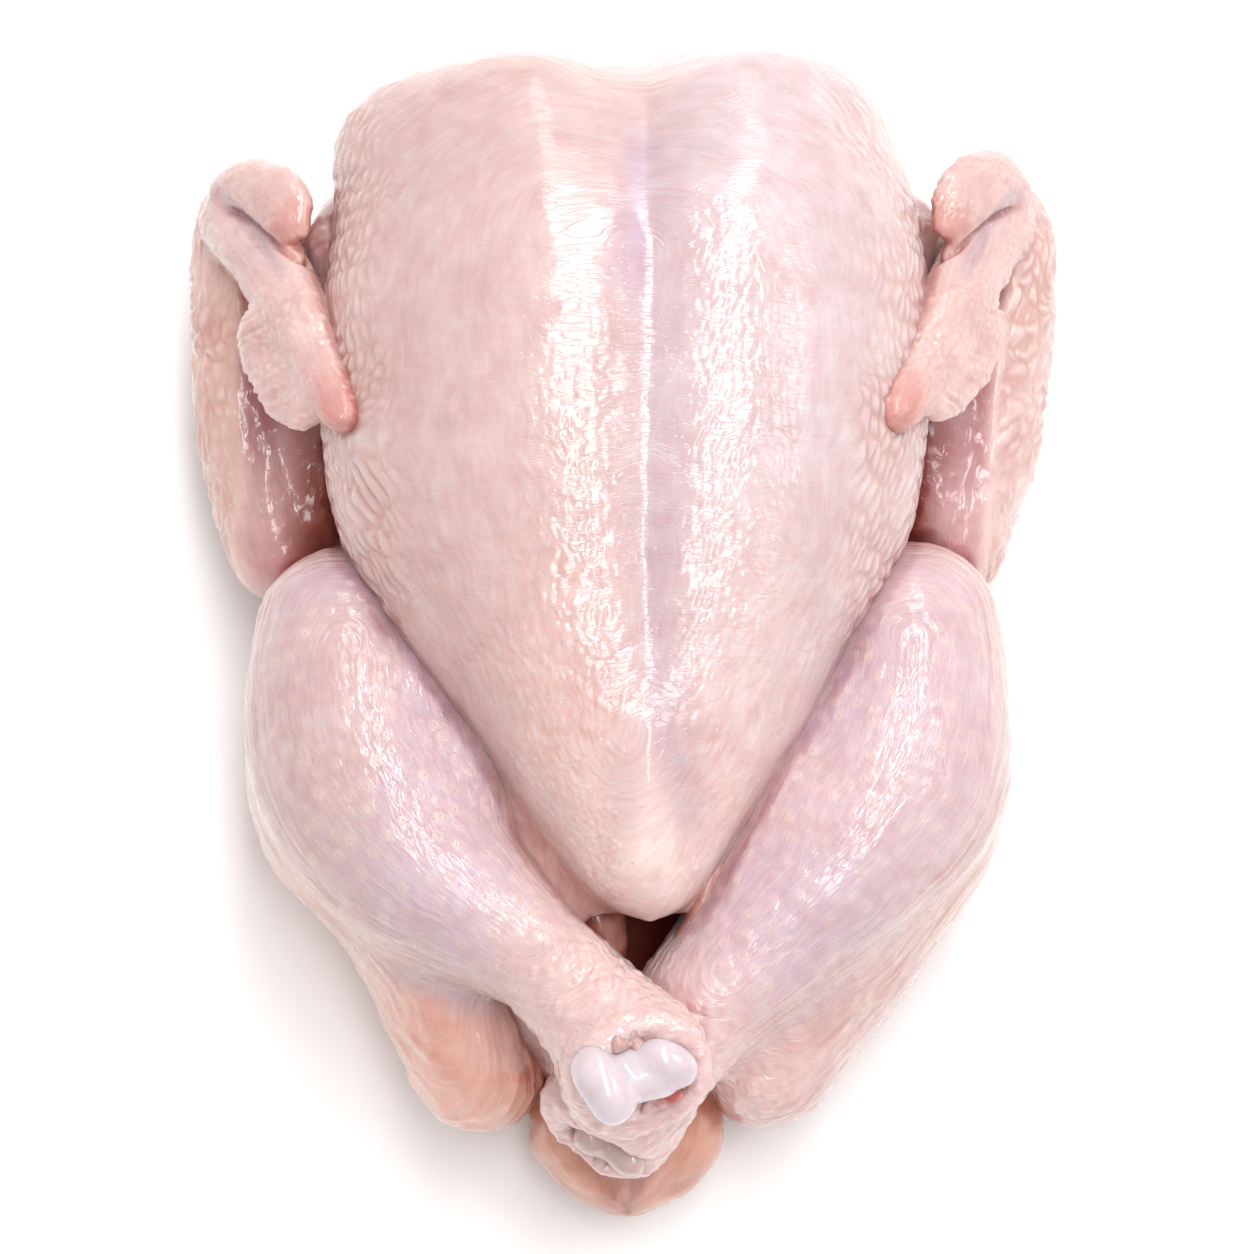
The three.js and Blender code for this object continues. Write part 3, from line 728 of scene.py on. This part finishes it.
leg_skin = wet_skin("wet leg skin", gloss=0.36, crinkles=1.9)
for side, seed in (("right", 21), ("left", 22)):
    drumstick = form("drumstick", DRUMSTICKS[side], (64, 72), (0.1, 0.05), 2.1)
    thigh = form("thigh", THIGHS[side], (56, 56), (0.14, 0.08), 2.1)
    middle, radius = CUT_BOWLS[side]
    place = Vector(middle) * MM
    bpy.ops.mesh.primitive_uv_sphere_add(segments=32, ring_count=24, radius=radius * MM, location=place)
    bowl = bpy.context.object
    cut(drumstick, bowl)
    remove(bowl)
    lip = form("lip", LIPS[side], (16, 96), (0.02, 0.02))
    roll = form("inner roll", INNER_ROLLS[side], (40, 48), (0.12, 0.1))
    leg = fused(side + " leg", [drumstick, thigh, lip, roll], 1.78)
    relax(leg, 3)
    finer(leg, lambda x, y, z, up: up > -0.35)
    finer(leg, lambda x, y, z, up: (z > 42) & (up > 0.3) | (y < -86) & (z > 34) & (up > -0.1))
    relax(leg, 2)
    p, n = points(leg), outward(leg)
    length, turn, reach = along(DRUMSTICKS[side], p)
    share = length / spine(DRUMSTICKS[side])[1][-1]
    surface = searchable(p)
    spots = np.array([surface.find(s)[0] for s in follicles(DRUMSTICKS[side], seed)])
    away, which = nearest(spots, p)
    strength = np.random.default_rng(seed + 9).uniform(0.25, 1, len(spots))[which]
    on_drum = ramp(reach, 31, 28) * ramp(p[:, 2], 28, 40)
    bare = ramp(share, 0.02, 0.16) * on_drum * strength
    hock = ramp(share, 0.62, 0.82) * on_drum
    # The underside of the drumstick, facing down away from the light, gets painted shade below.
    under = ramp(n[:, 2], 0.3, -0.1) * on_drum
    waver = 2 * lumps(p, 16, seed + 7) + lumps(p, 7, seed + 10)
    down, around = contour(np.sin(turn) * reach, length, np.cos(turn) * reach, (28, 110), (24, 24, 26))
    edge = ramp(n[:, 2], 0.8, 0.45) * ramp(n[:, 2], -0.1, 0.35) * ramp(p[:, 2], 22, 40)
    on_thigh = ramp(reach - np.interp(share, *DRUM_GIRTH), 0.5, 8) * ramp(p[:, 2], 74, 56)
    wrinkles = streaky((down + waver) / 1.25, (around + waver) / 11, seed + 3)
    pimples = lumps(p + lumps(p, 5, seed + 11)[:, None], 1.9, seed + 12)
    pebbles = cobbles((p / 3.2 + 0.4 * lumps(p, 6, seed + 8)[:, None]).T, seed, 0.9) - 0.5
    rise = 0.5 * lumps(p, 24, seed) + 0.25 * lumps(p, 11, seed + 1) + 0.15 * lumps(p, 4.5, seed + 2)
    rise += 0.11 * on_drum * (1 - hock) * ramp(n[:, 2], 0.3, 0.7) * pimples
    rise += bare * (1 - 0.6 * hock) * 0.15 * bell(away, 1.2)
    rise += 0.5 * hock * pebbles
    rise += (0.24 * edge + 0.07 + 0.08 * on_thigh) * wrinkles + 0.35 * on_thigh * lumps(p, 3.5, seed + 13)
    p = raised(leg, p, n, rise)

    facing_out = ramp(np.abs(p[:, 0]), 34, 50)
    tone = np.tile(LEG_TONES[side], (len(p), 1))
    mauve = ramp(lumps(p, 26, seed + 4), -0.2, 0.5) * ramp(n[:, 2], 0.25, 0.75)
    tone = blend(tone, MAUVE, 0.8 * mauve)
    # Painted shade: the lower outer side of the leg, turned from the light, is painted darker and redder. The
    # thighs get their own colour, and the outer underside of the drumstick gets painted shade in that same
    # colour.
    tone = blend(tone, SHADED_OUTER_LEG, ramp(p[:, 2], 68, 36) * ramp(n[:, 2], 0.9, 0.3) * facing_out)
    tone = blend(tone, THIGH_TONES[side], np.maximum(on_thigh, 0.8 * under * facing_out))
    # Painted light on the tops of the wrinkles and painted shade in their grooves.
    tone = blend(tone, LIT_WRINKLE_TOP, 0.5 * edge * ramp(wrinkles, -0.1, 0.5) * on_drum)
    tone = blend(tone, SHADED_WRINKLE_GROOVE, 0.4 * edge * ramp(wrinkles, 0.1, -0.5) * on_drum)
    tone = blend(tone, FOLLICLE, 0.45 * bare * bell(away, 1.6))
    tone = blend(tone, HOCK, 0.7 * hock)
    paint(leg, "tone", mottled(tone, p, (0.04, 9), (0.03, 3), seed + 5))
    mark(leg, "flow", np.stack([down + waver, around - waver, p[:, 0]], 1) * MM)
    mark(leg, "spot", spots[which] * MM)
    mark(leg, "bare", bare * (away < 1.9))
    mark(leg, "pleat", 0.15 + 0.6 * edge)
    keep(leg, leg_skin, "carcass")

# ---------------------------------------------------------------- wings
# Each wing is folded in a Z against the flank: the upper arm, the forearm outside it, and the hand
# over both, with a web of skin behind it and the thumb lying on its root. The five are fused into
# one skin.
WINGS = {
    "right": {
        "upper arm": [
            (-48, 96, 44, 15, 20), (-61, 72, 36, 16, 18), (-68, 44, 27, 15, 14), (-73, 20, 22, 12, 12),
        ],
        "forearm": [
            (-73, 10, 22, 9, 12), (-77.5, 28, 24, 12, 14), (-81.5, 50, 27, 13, 15),
            (-83, 72, 30, 12.5, 15), (-82.5, 90, 33, 12.5, 14), (-79, 102, 37, 9, 11),
        ],
        "palm": [
            (-87, 93.5, 42, 8, 8), (-82, 86.5, 51, 8.6, 8), (-76.5, 77.5, 58, 8.5, 7), (-72, 68, 64, 8, 6.5),
            (-68, 58.5, 70, 7.5, 6), (-63.5, 48.5, 76, 6.5, 5.5), (-59.5, 40.5, 81, 4.8, 5),
            (-57.5, 36.5, 84, 3.8, 4),
        ],
        "web": [
            (-79.5, 68, 59, 5.5, 4.5), (-75, 58, 65.5, 9, 4), (-70, 49.5, 71, 9.5, 3.6),
            (-63, 41.5, 78, 6.5, 3),
        ],
        "thumb": [
            (-86.5, 94.5, 46, 8, 8), (-81, 93.5, 56, 8.4, 5.8), (-76, 90.5, 62, 8.2, 4.8),
            (-72.3, 87, 65, 7.4, 4), (-69.8, 84, 66.5, 5, 2.8), (-67.6, 82.3, 67, 2.2, 2),
        ],
    },
    "left": {
        "upper arm": [(48, 96, 44, 15, 20), (61, 72, 36, 16, 18), (66, 44, 28, 15, 15), (69, 20, 24, 12, 13)],
        "forearm": [
            (70.5, 11, 22, 9, 12), (74, 28, 24, 12, 14), (79, 50, 27, 13, 15),
            (82, 72, 30, 12.5, 15), (82, 90, 33, 12.5, 14), (79, 102, 37, 9, 11),
        ],
        "palm": [
            (84, 93.5, 42, 8, 8), (79, 86.5, 51, 9, 8), (75, 77.5, 58, 8.6, 7), (71, 68, 64, 8.2, 6.5),
            (67, 58.5, 70, 7.8, 6), (61.5, 48.5, 76, 6.8, 5.5), (56.5, 40, 82, 5.2, 5),
            (54.5, 36.5, 84, 4.2, 4),
        ],
        "web": [
            (77.5, 70, 59, 5.5, 4.5), (73.5, 60, 65.5, 8.5, 4), (68, 51, 71, 9, 3.6), (61, 42.5, 78, 6, 3),
        ],
        "thumb": [
            (84, 95, 46, 9, 8), (79, 94.5, 56, 9, 5.8), (74.5, 91.5, 62, 8.6, 4.8),
            (70.8, 87.5, 65, 7.4, 4), (67.8, 84.5, 66.5, 4.8, 2.8), (65.5, 83, 67, 2, 2),
        ],
    },
}
QUILL_RIDGE = {  # y along the forearm, x of the ridge there
    "right": ((20, 100), (-84.5, -85)),
    "left": ((20, 30, 68, 82), (78, 79.2, 82.7, 85.6)),
}
WING_TONES = {"right": (0.73, 0.49, 0.435), "left": (0.77, 0.575, 0.55)}
INNER_WING, SHADE_BESIDE_BODY, UPPER_ARM_SHADE = (0.53, 0.245, 0.26), (0.32, 0.075, 0.05), (0.45, 0.20, 0.18)
RIDGE, HAND, HAND_HOLLOW_SHADE = (0.82, 0.62, 0.55), (0.72, 0.50, 0.47), (0.50, 0.36, 0.42)
CELL_GROOVE_SHADE, SLIT_SHADE = (0.62, 0.34, 0.28), (0.45, 0.16, 0.13)
WING_TIP, THUMB_TIP = (0.62, 0.295, 0.26), (0.64, 0.35, 0.31)
wing_skin = wet_skin("wet wing skin", gloss=0.4, crinkles=1.2)
for side, hand, seed in (("right", -1, 31), ("left", 1, 32)):
    up = (hand * 0.5, 0, 0.87)
    parts = WINGS[side]
    forms = [
        form("upper arm", parts["upper arm"], (40, 40), (0.14, 0.12)),
        form("forearm", parts["forearm"], (40, 48), (0.1, 0.08)),
        form("palm", parts["palm"], (32, 48), (0.08, 0.06), up=up),
        form("web", parts["web"], (32, 32), (0.14, 0.12), up=up),
        form("thumb", parts["thumb"], (32, 32), (0.2, 0.12), up=up),
    ]
    wing = fused(side + " wing", forms, 1.0)
    relax(wing, 2)
    finish_with(wing, "SUBSURF", levels=1, render_levels=1)
    p, n = points(wing), outward(wing)
    length, turn, reach = along(parts["palm"], p, up)
    arm_length, arm_turn, arm_reach = along(parts["forearm"], p)
    thumb_length, _, thumb_reach = along(parts["thumb"], p, up)
    back = -hand * np.sin(turn) * reach  # across the hand, towards the web
    on_hand = ramp(arm_reach / 14 - np.minimum(reach / 9, thumb_reach / 7), -0.05, 0.3)
    on_web = on_hand * ramp(back, 5, 8) * ramp(length, 12, 24)
    ridge_x = np.interp(p[:, 1], *QUILL_RIDGE[side])
    outside = hand * (p[:, 0] - ridge_x) + lumps(p, 9, seed + 4)
    outer_roll = (1 - on_hand) * ramp(outside, -1, 2)
    faces_up = ramp(n[:, 2], -0.1, 0.35) * ramp(p[:, 1], 4, 16)
    inner_wing = (1 - on_hand) * ramp(outside, 0, -3.5) * faces_up
    rise = 0.45 * lumps(p, 16, seed) + 0.25 * lumps(p, 7, seed + 1) + 0.12 * lumps(p, 3.5, seed + 2)
    # Quill stumps lift the skin of the forearm in a knotted ridge, and its outside folds in cells.
    knots = 0.6 + 0.5 * streaky(arm_length / 3.2, 0 * arm_length, seed + 3)
    rise += 0.9 * (1 - on_hand) * bell(outside, 1.7) * ramp(n[:, 2], 0.2, 0.5) * knots
    waver = 1.5 * lumps(p, 9, seed + 5) + 0.7 * lumps(p, 4, seed + 12)
    row = np.where(on_hand > 0.5, reach * turn + length, arm_turn * 13) + waver
    column = np.where(on_hand > 0.5, length - reach * turn, arm_length)
    cell = cobbles(((row + waver) / 3.1, (column + 3 * waver) / 4.2), seed, 0.9) - 0.5
    folded = np.clip(outer_roll + 0.45 * on_hand, 0, 1) * (0.8 + 0.5 * lumps(p, 12, seed + 11))
    rise += 0.7 * folded * cell + 0.16 * inner_wing * lumps(p, 2.2, seed + 13)
    # The thumb lies over the hand, with a deep crease between them.
    slit = on_hand * bell(thumb_reach / 7 - reach / 9, 0.11) * ramp(thumb_length, 7, 12)
    rise -= 1.3 * slit
    # The hand has a hollow between its two bones, and its web hangs in pleats.
    rise -= 1.1 * on_hand * bell(back + 3.5, 1.9) * ramp(length, 4, 12) * ramp(length, 42, 28)
    pleats = streaky((length + 0.5 * back + lumps(p, 9, seed + 6)) / 1.15, back / 14, seed + 7)
    rise += (0.45 * on_web + 0.14 * on_hand) * pleats
    p = raised(wing, p, n, rise)

    tone = np.tile(WING_TONES[side], (len(p), 1))
    tone = blend(tone, INNER_WING, inner_wing * ramp(lumps(p, 20, seed + 8), -0.9, 0.1))
    # Painted shade: the inner wing is painted dark red-brown where it turns in beside the body, in the wing's
    # shade.
    shade_beside_body = (1 - on_hand) * ramp(outside, -8, -16) * faces_up * ramp(p[:, 1], 96, 80)
    tone = blend(tone, SHADE_BESIDE_BODY, 0.9 * shade_beside_body)
    tone = blend(tone, RIDGE, 0.6 * (1 - on_hand) * bell(outside, 1.7) * ramp(knots, 0.5, 0.9))
    # Painted shade: the upper arm, in the narrow gap between the wing and the body, is painted darker red.
    upper_arm_shade = (1 - on_hand) * ramp(np.abs(p[:, 0]), 72, 66) * ramp(p[:, 1], 58, 70) * faces_up
    tone = blend(tone, UPPER_ARM_SHADE, 0.7 * upper_arm_shade)
    tone = blend(tone, HAND, on_hand)
    # Painted shade in the grooves between the cells.
    tone = blend(tone, CELL_GROOVE_SHADE, 0.6 * folded * (0.5 - cell))
    # Painted shade in the crease between the thumb and the hand.
    tone = blend(tone, SLIT_SHADE, 0.8 * slit)
    # Painted shade in the hollow between the hand's two bones.
    hollow = on_hand * bell(back + 3.5, 2.6) * ramp(length, 4, 12) * ramp(length, 42, 28)
    tone = blend(tone, HAND_HOLLOW_SHADE, 0.6 * hollow)
    tone = blend(tone, WING_TIP, on_hand * ramp(length, 56, 76) * ramp(back, 7, 3))
    tone = blend(tone, THUMB_TIP, on_hand * ramp(thumb_length, 24, 28) * ramp(thumb_reach, 7, 4))
    paint(wing, "tone", mottled(tone, p, (0.05, 8), (0.04, 3), seed + 9))
    on_arm = np.stack([arm_turn * 12, arm_length, 0 * turn], 1)
    over_hand = np.stack([turn * 8, length, 0 * turn], 1)
    mark(wing, "flow", np.where((on_hand > 0.5)[:, None], over_hand, on_arm) * MM)
    mark(wing, "pleat", 0.5 * on_hand + 0.5 * outer_roll)
    mark(wing, "prick", 0.4 + 0 * turn)
    keep(wing, wing_skin, "carcass")

# ---------------------------------------------------------------- tail
# The tail is a soft lobe of fat with a blunt point, creased down its middle. Its thin skin has fine
# wrinkles that fan out from the point.
TAIL = [
    (0, -74, 25, 20, 18), (0, -92, 23, 20.5, 17), (0.5, -107, 20, 21.5, 15), (0.5, -117, 18, 15, 11),
    (0.5, -124, 17, 7, 7),
]
TAIL_POINT = -124
TAIL_FAT, TAIL_CREASE_SHADE = (0.60, 0.295, 0.215), (0.48, 0.24, 0.25)
LIT_TAIL_WRINKLE, SHADED_TAIL_WRINKLE = (0.72, 0.40, 0.31), (0.46, 0.17, 0.11)
tail = fused("tail", [form("tail", TAIL, (56, 48), (0.2, 0.1))], 1.2)
relax(tail, 3)
finish_with(tail, "SUBSURF", levels=1, render_levels=1)
p, n = points(tail), outward(tail)
off_crease = p[:, 0] - 1.5 - 0.8 * lumps(p, 9, 45)
on_top = ramp(n[:, 2], 0.0, 0.6)
rise = 0.5 * lumps(p, 14, 41) + 0.3 * lumps(p, 6, 42)
rise -= 1.4 * bell(off_crease, 1.8) * on_top * ramp(p[:, 1], -106, -118)
from_point = p[:, 1] - TAIL_POINT
fan = np.arctan2(off_crease, from_point) * 4.5 + 0.6 * lumps(p, 6, 47)
wrinkles = streaky(fan, np.hypot(off_crease, from_point) / 9, 46)
rise += 0.6 * wrinkles * ramp(n[:, 2], -0.2, 0.4)
p = raised(tail, p, n, rise)
tone = np.tile(TAIL_FAT, (len(p), 1))
# Painted shade in the crease down the middle of the tail.
tone = blend(tone, TAIL_CREASE_SHADE, 0.6 * bell(np.hypot(off_crease, (p[:, 1] + 118) / 1.5), 6) * on_top)
# Painted light on the tops of the wrinkles and painted shade in their grooves.
tone = blend(tone, LIT_TAIL_WRINKLE, 0.6 * ramp(wrinkles, 0, 0.6))
tone = blend(tone, SHADED_TAIL_WRINKLE, 0.5 * ramp(wrinkles, 0, -0.6))
paint(tail, "tone", mottled(tone, p, (0.05, 8), (0.04, 3), 43))
mark(tail, "flow", np.stack([np.arctan2(p[:, 0], p[:, 2] - 18) * 18, p[:, 1], 0 * rise], 1) * MM)
mark(tail, "pleat", 0.4 + 0 * rise)
keep(tail, wet_skin("wet tail skin", crinkles=1.6), "carcass")

# ---------------------------------------------------------------- vent
# A loose lobe of fat and a strip of skin hang at the edges of the vent, where the bird was opened
# to be drawn.
VENT_FAT = [(-11, -48, 52, 6, 7), (-7.5, -59, 50, 6.5, 8), (-5, -68, 47, 6, 8), (-3.5, -77, 42, 5, 8)]
VENT_SKIN = [
    (25, -46, 54, 4, 8), (18.5, -56, 55, 4, 9), (14, -66, 54, 3.5, 9), (9, -76, 52, 3.5, 9),
    (2, -86, 49, 4, 8),
]
for name, stations, colour, seed in (
    ("vent fat", VENT_FAT, (0.52, 0.22, 0.17), 51),
    ("vent skin", VENT_SKIN, (0.60, 0.34, 0.31), 52),
):
    strip = fused(name, [form(name, stations, (32, 48), (0.25, 0.2))], 0.9)
    relax(strip, 2)
    p = points(strip)
    p = raised(strip, p, outward(strip), 0.7 * lumps(p, 8, seed) + 0.3 * lumps(p, 3.5, seed + 1))
    mark(strip, "flow", p * MM)
    paint(strip, "tone", np.tile(colour, (len(p), 1)) * (1 + 0.1 * lumps(p, 5, seed))[:, None])
    keep(strip, leg_skin, "carcass")

# ---------------------------------------------------------------- leg bones
# The leg bone ends at the hock in two rounded knuckles of wet, bluish-white cartilage. Each bone is
# a shaft down the middle of the drumstick with its knuckles fused on.
SHAFTS = {
    "right": [
        (-58, -2, 44, 7, 7), (-56, -16, 47, 6, 6), (-43, -46, 53, 4, 4), (-20, -76, 66, 4, 4),
        (-4, -92, 76, 5, 5), (3, -99, 82, 4.5, 4.5),
    ],
    "left": [
        (59, 0, 42, 7, 7), (57, -14, 44, 6, 6), (45, -45, 48, 4, 4), (22, -76, 52, 4, 4),
        (4, -97, 50, 5, 5), (-3, -105, 48, 4.5, 4.5),
    ],
}
KNUCKLES = {
    "right": [
        [
            (-7.5, -95.5, 83, 4.2, 4), (-6, -100, 87, 5.2, 4.8), (-3, -104.5, 87, 5.3, 4.8),
            (0.5, -108, 83, 4.4, 4),
        ],
        [
            (4, -96.5, 84, 3.8, 3.8), (7.5, -97, 86.5, 4.2, 4), (10.5, -98.5, 85.5, 4.2, 4),
            (12, -100.5, 82, 3.8, 3.8),
        ],
        [(-5, -102, 82, 6, 5.5), (4, -99.5, 84, 6, 5), (11, -98, 82, 5.5, 5)],
    ],
    "left": [
        [(-10.5, -107.5, 47, 3, 3.2), (-7, -109.5, 47, 3.8, 3.4), (-4, -111.5, 46, 3.2, 3)],
        [(-3, -111, 45, 3, 3), (1, -114, 46, 4, 3.6), (4.5, -114, 46, 3.4, 3.4)],
        [(-8, -109.5, 45, 3.6, 3), (3.5, -113, 44, 3.6, 3)],
    ],
}
CARTILAGE = {"right": (0.68, 0.59, 0.63), "left": (0.60, 0.47, 0.44)}
gristle = wet_skin("wet gristle", gloss=0.25, crinkles=0.35, glow=0.8)
for side, shaft in SHAFTS.items():
    parts = [form("shaft", shaft, (24, 48), (0.08, 0.05))]
    parts += [form("knuckle", knuckle, (32, 32), (0.2, 0.2)) for knuckle in KNUCKLES[side]]
    bone = fused(side + " leg bone", parts, 0.7)
    relax(bone, 5)
    p = points(bone)
    p = raised(bone, p, outward(bone), 0.3 * lumps(p, 6, 61))
    mark(bone, "flow", 0 * p)
    tone = np.tile(CARTILAGE[side], (len(p), 1))
    paint(bone, "tone", tone * (1 + 0.05 * lumps(p, 5, 62))[:, None])
    keep(bone, gristle, side + "_leg_bone")

# ---------------------------------------------------------------- tissue at the hocks
# Torn bits of tendon and fat are left round the knuckles, some of them bloody. They are small soft
# balls, stuck to the lip of skin and to the cartilage.
BITS = [  # middle x, y, z, radius, how bloody
    (-1.5, -93.5, 86, 2.4, 0.2), (-4.5, -95, 85, 2, 0.1), (1.5, -91.5, 86, 2, 1), (3, -94.5, 86, 1.8, 0.2),
    (7, -104.5, 80, 2.4, 0.5), (10, -103.5, 81, 2, 0.9), (5, -106, 79, 2, 0.1), (13.5, -101, 81, 1.8, 0.9),
    (-8.5, -104, 82, 1.8, 0.6), (7.5, -112, 45, 2, 0.1), (-5, -114, 43, 1.8, 0.1),
    (-12, -106.5, 48.5, 1.7, 1), (-14, -105.5, 50, 1.3, 1),
]
TENDON, BLOOD = (0.60, 0.42, 0.40), (0.45, 0.05, 0.04)
balls = []
for x, y, z, radius, _ in BITS:
    place = (x * MM, y * MM, z * MM)
    bpy.ops.object.select_all(action="DESELECT")
    bpy.ops.mesh.primitive_uv_sphere_add(segments=24, ring_count=16, radius=radius * MM, location=place)
    bpy.ops.object.transform_apply(location=True, rotation=False, scale=False)
    balls.append(bpy.context.object)
tissue = fused("hock tissue", balls, 0.5)
p = points(tissue)
_, which = nearest(np.array([b[:3] for b in BITS]), p)
p = raised(tissue, p, outward(tissue), 0.5 * lumps(p, 2.6, 71) + 0.25 * lumps(p, 1.3, 72))
mark(tissue, "flow", p * MM)
bloody = np.array([b[4] for b in BITS])[which] * ramp(lumps(p, 2.2, 73), -0.5, 0.3)
paint(tissue, "tone", blend(np.tile(TENDON, (len(p), 1)), BLOOD, bloody))
keep(tissue, leg_skin, "carcass")

# ---------------------------------------------------------------- painted shade in folds
# Painted shade: the colour is made deeper and redder where skin lies against skin, in the folds where shade
# falls. A ball laid on the skin has less room where the skin folds in, and the less room it has, the deeper
# the painted shade.
SHADE_BALL = 5.0
SKINS = (
    "trunk", "right_leg", "left_leg", "right_wing", "left_wing", "tail", "vent_fat", "vent_skin",
    "hock_tissue",
)
skins = [bpy.data.objects[name] for name in SKINS]
surface = searchable(np.vstack([points(piece) for piece in skins]))
for piece in skins:
    ahead = points(piece) + SHADE_BALL * outward(piece)
    room = np.array([surface.find(q)[2] for q in ahead]) / SHADE_BALL
    layer = piece.data.color_attributes["tone"]
    tone = np.empty(len(ahead) * 4)
    layer.data.foreach_get("color", tone)
    tone = tone.reshape(-1, 4)
    # Painted shade: where the ball has little room, the colour is raised to a higher power, which makes it
    # darker and redder.
    tone[:, :3] **= 1 + 0.5 * ramp(room, 0.7, 0.2)[:, None]
    layer.data.foreach_set("color", tone.ravel())
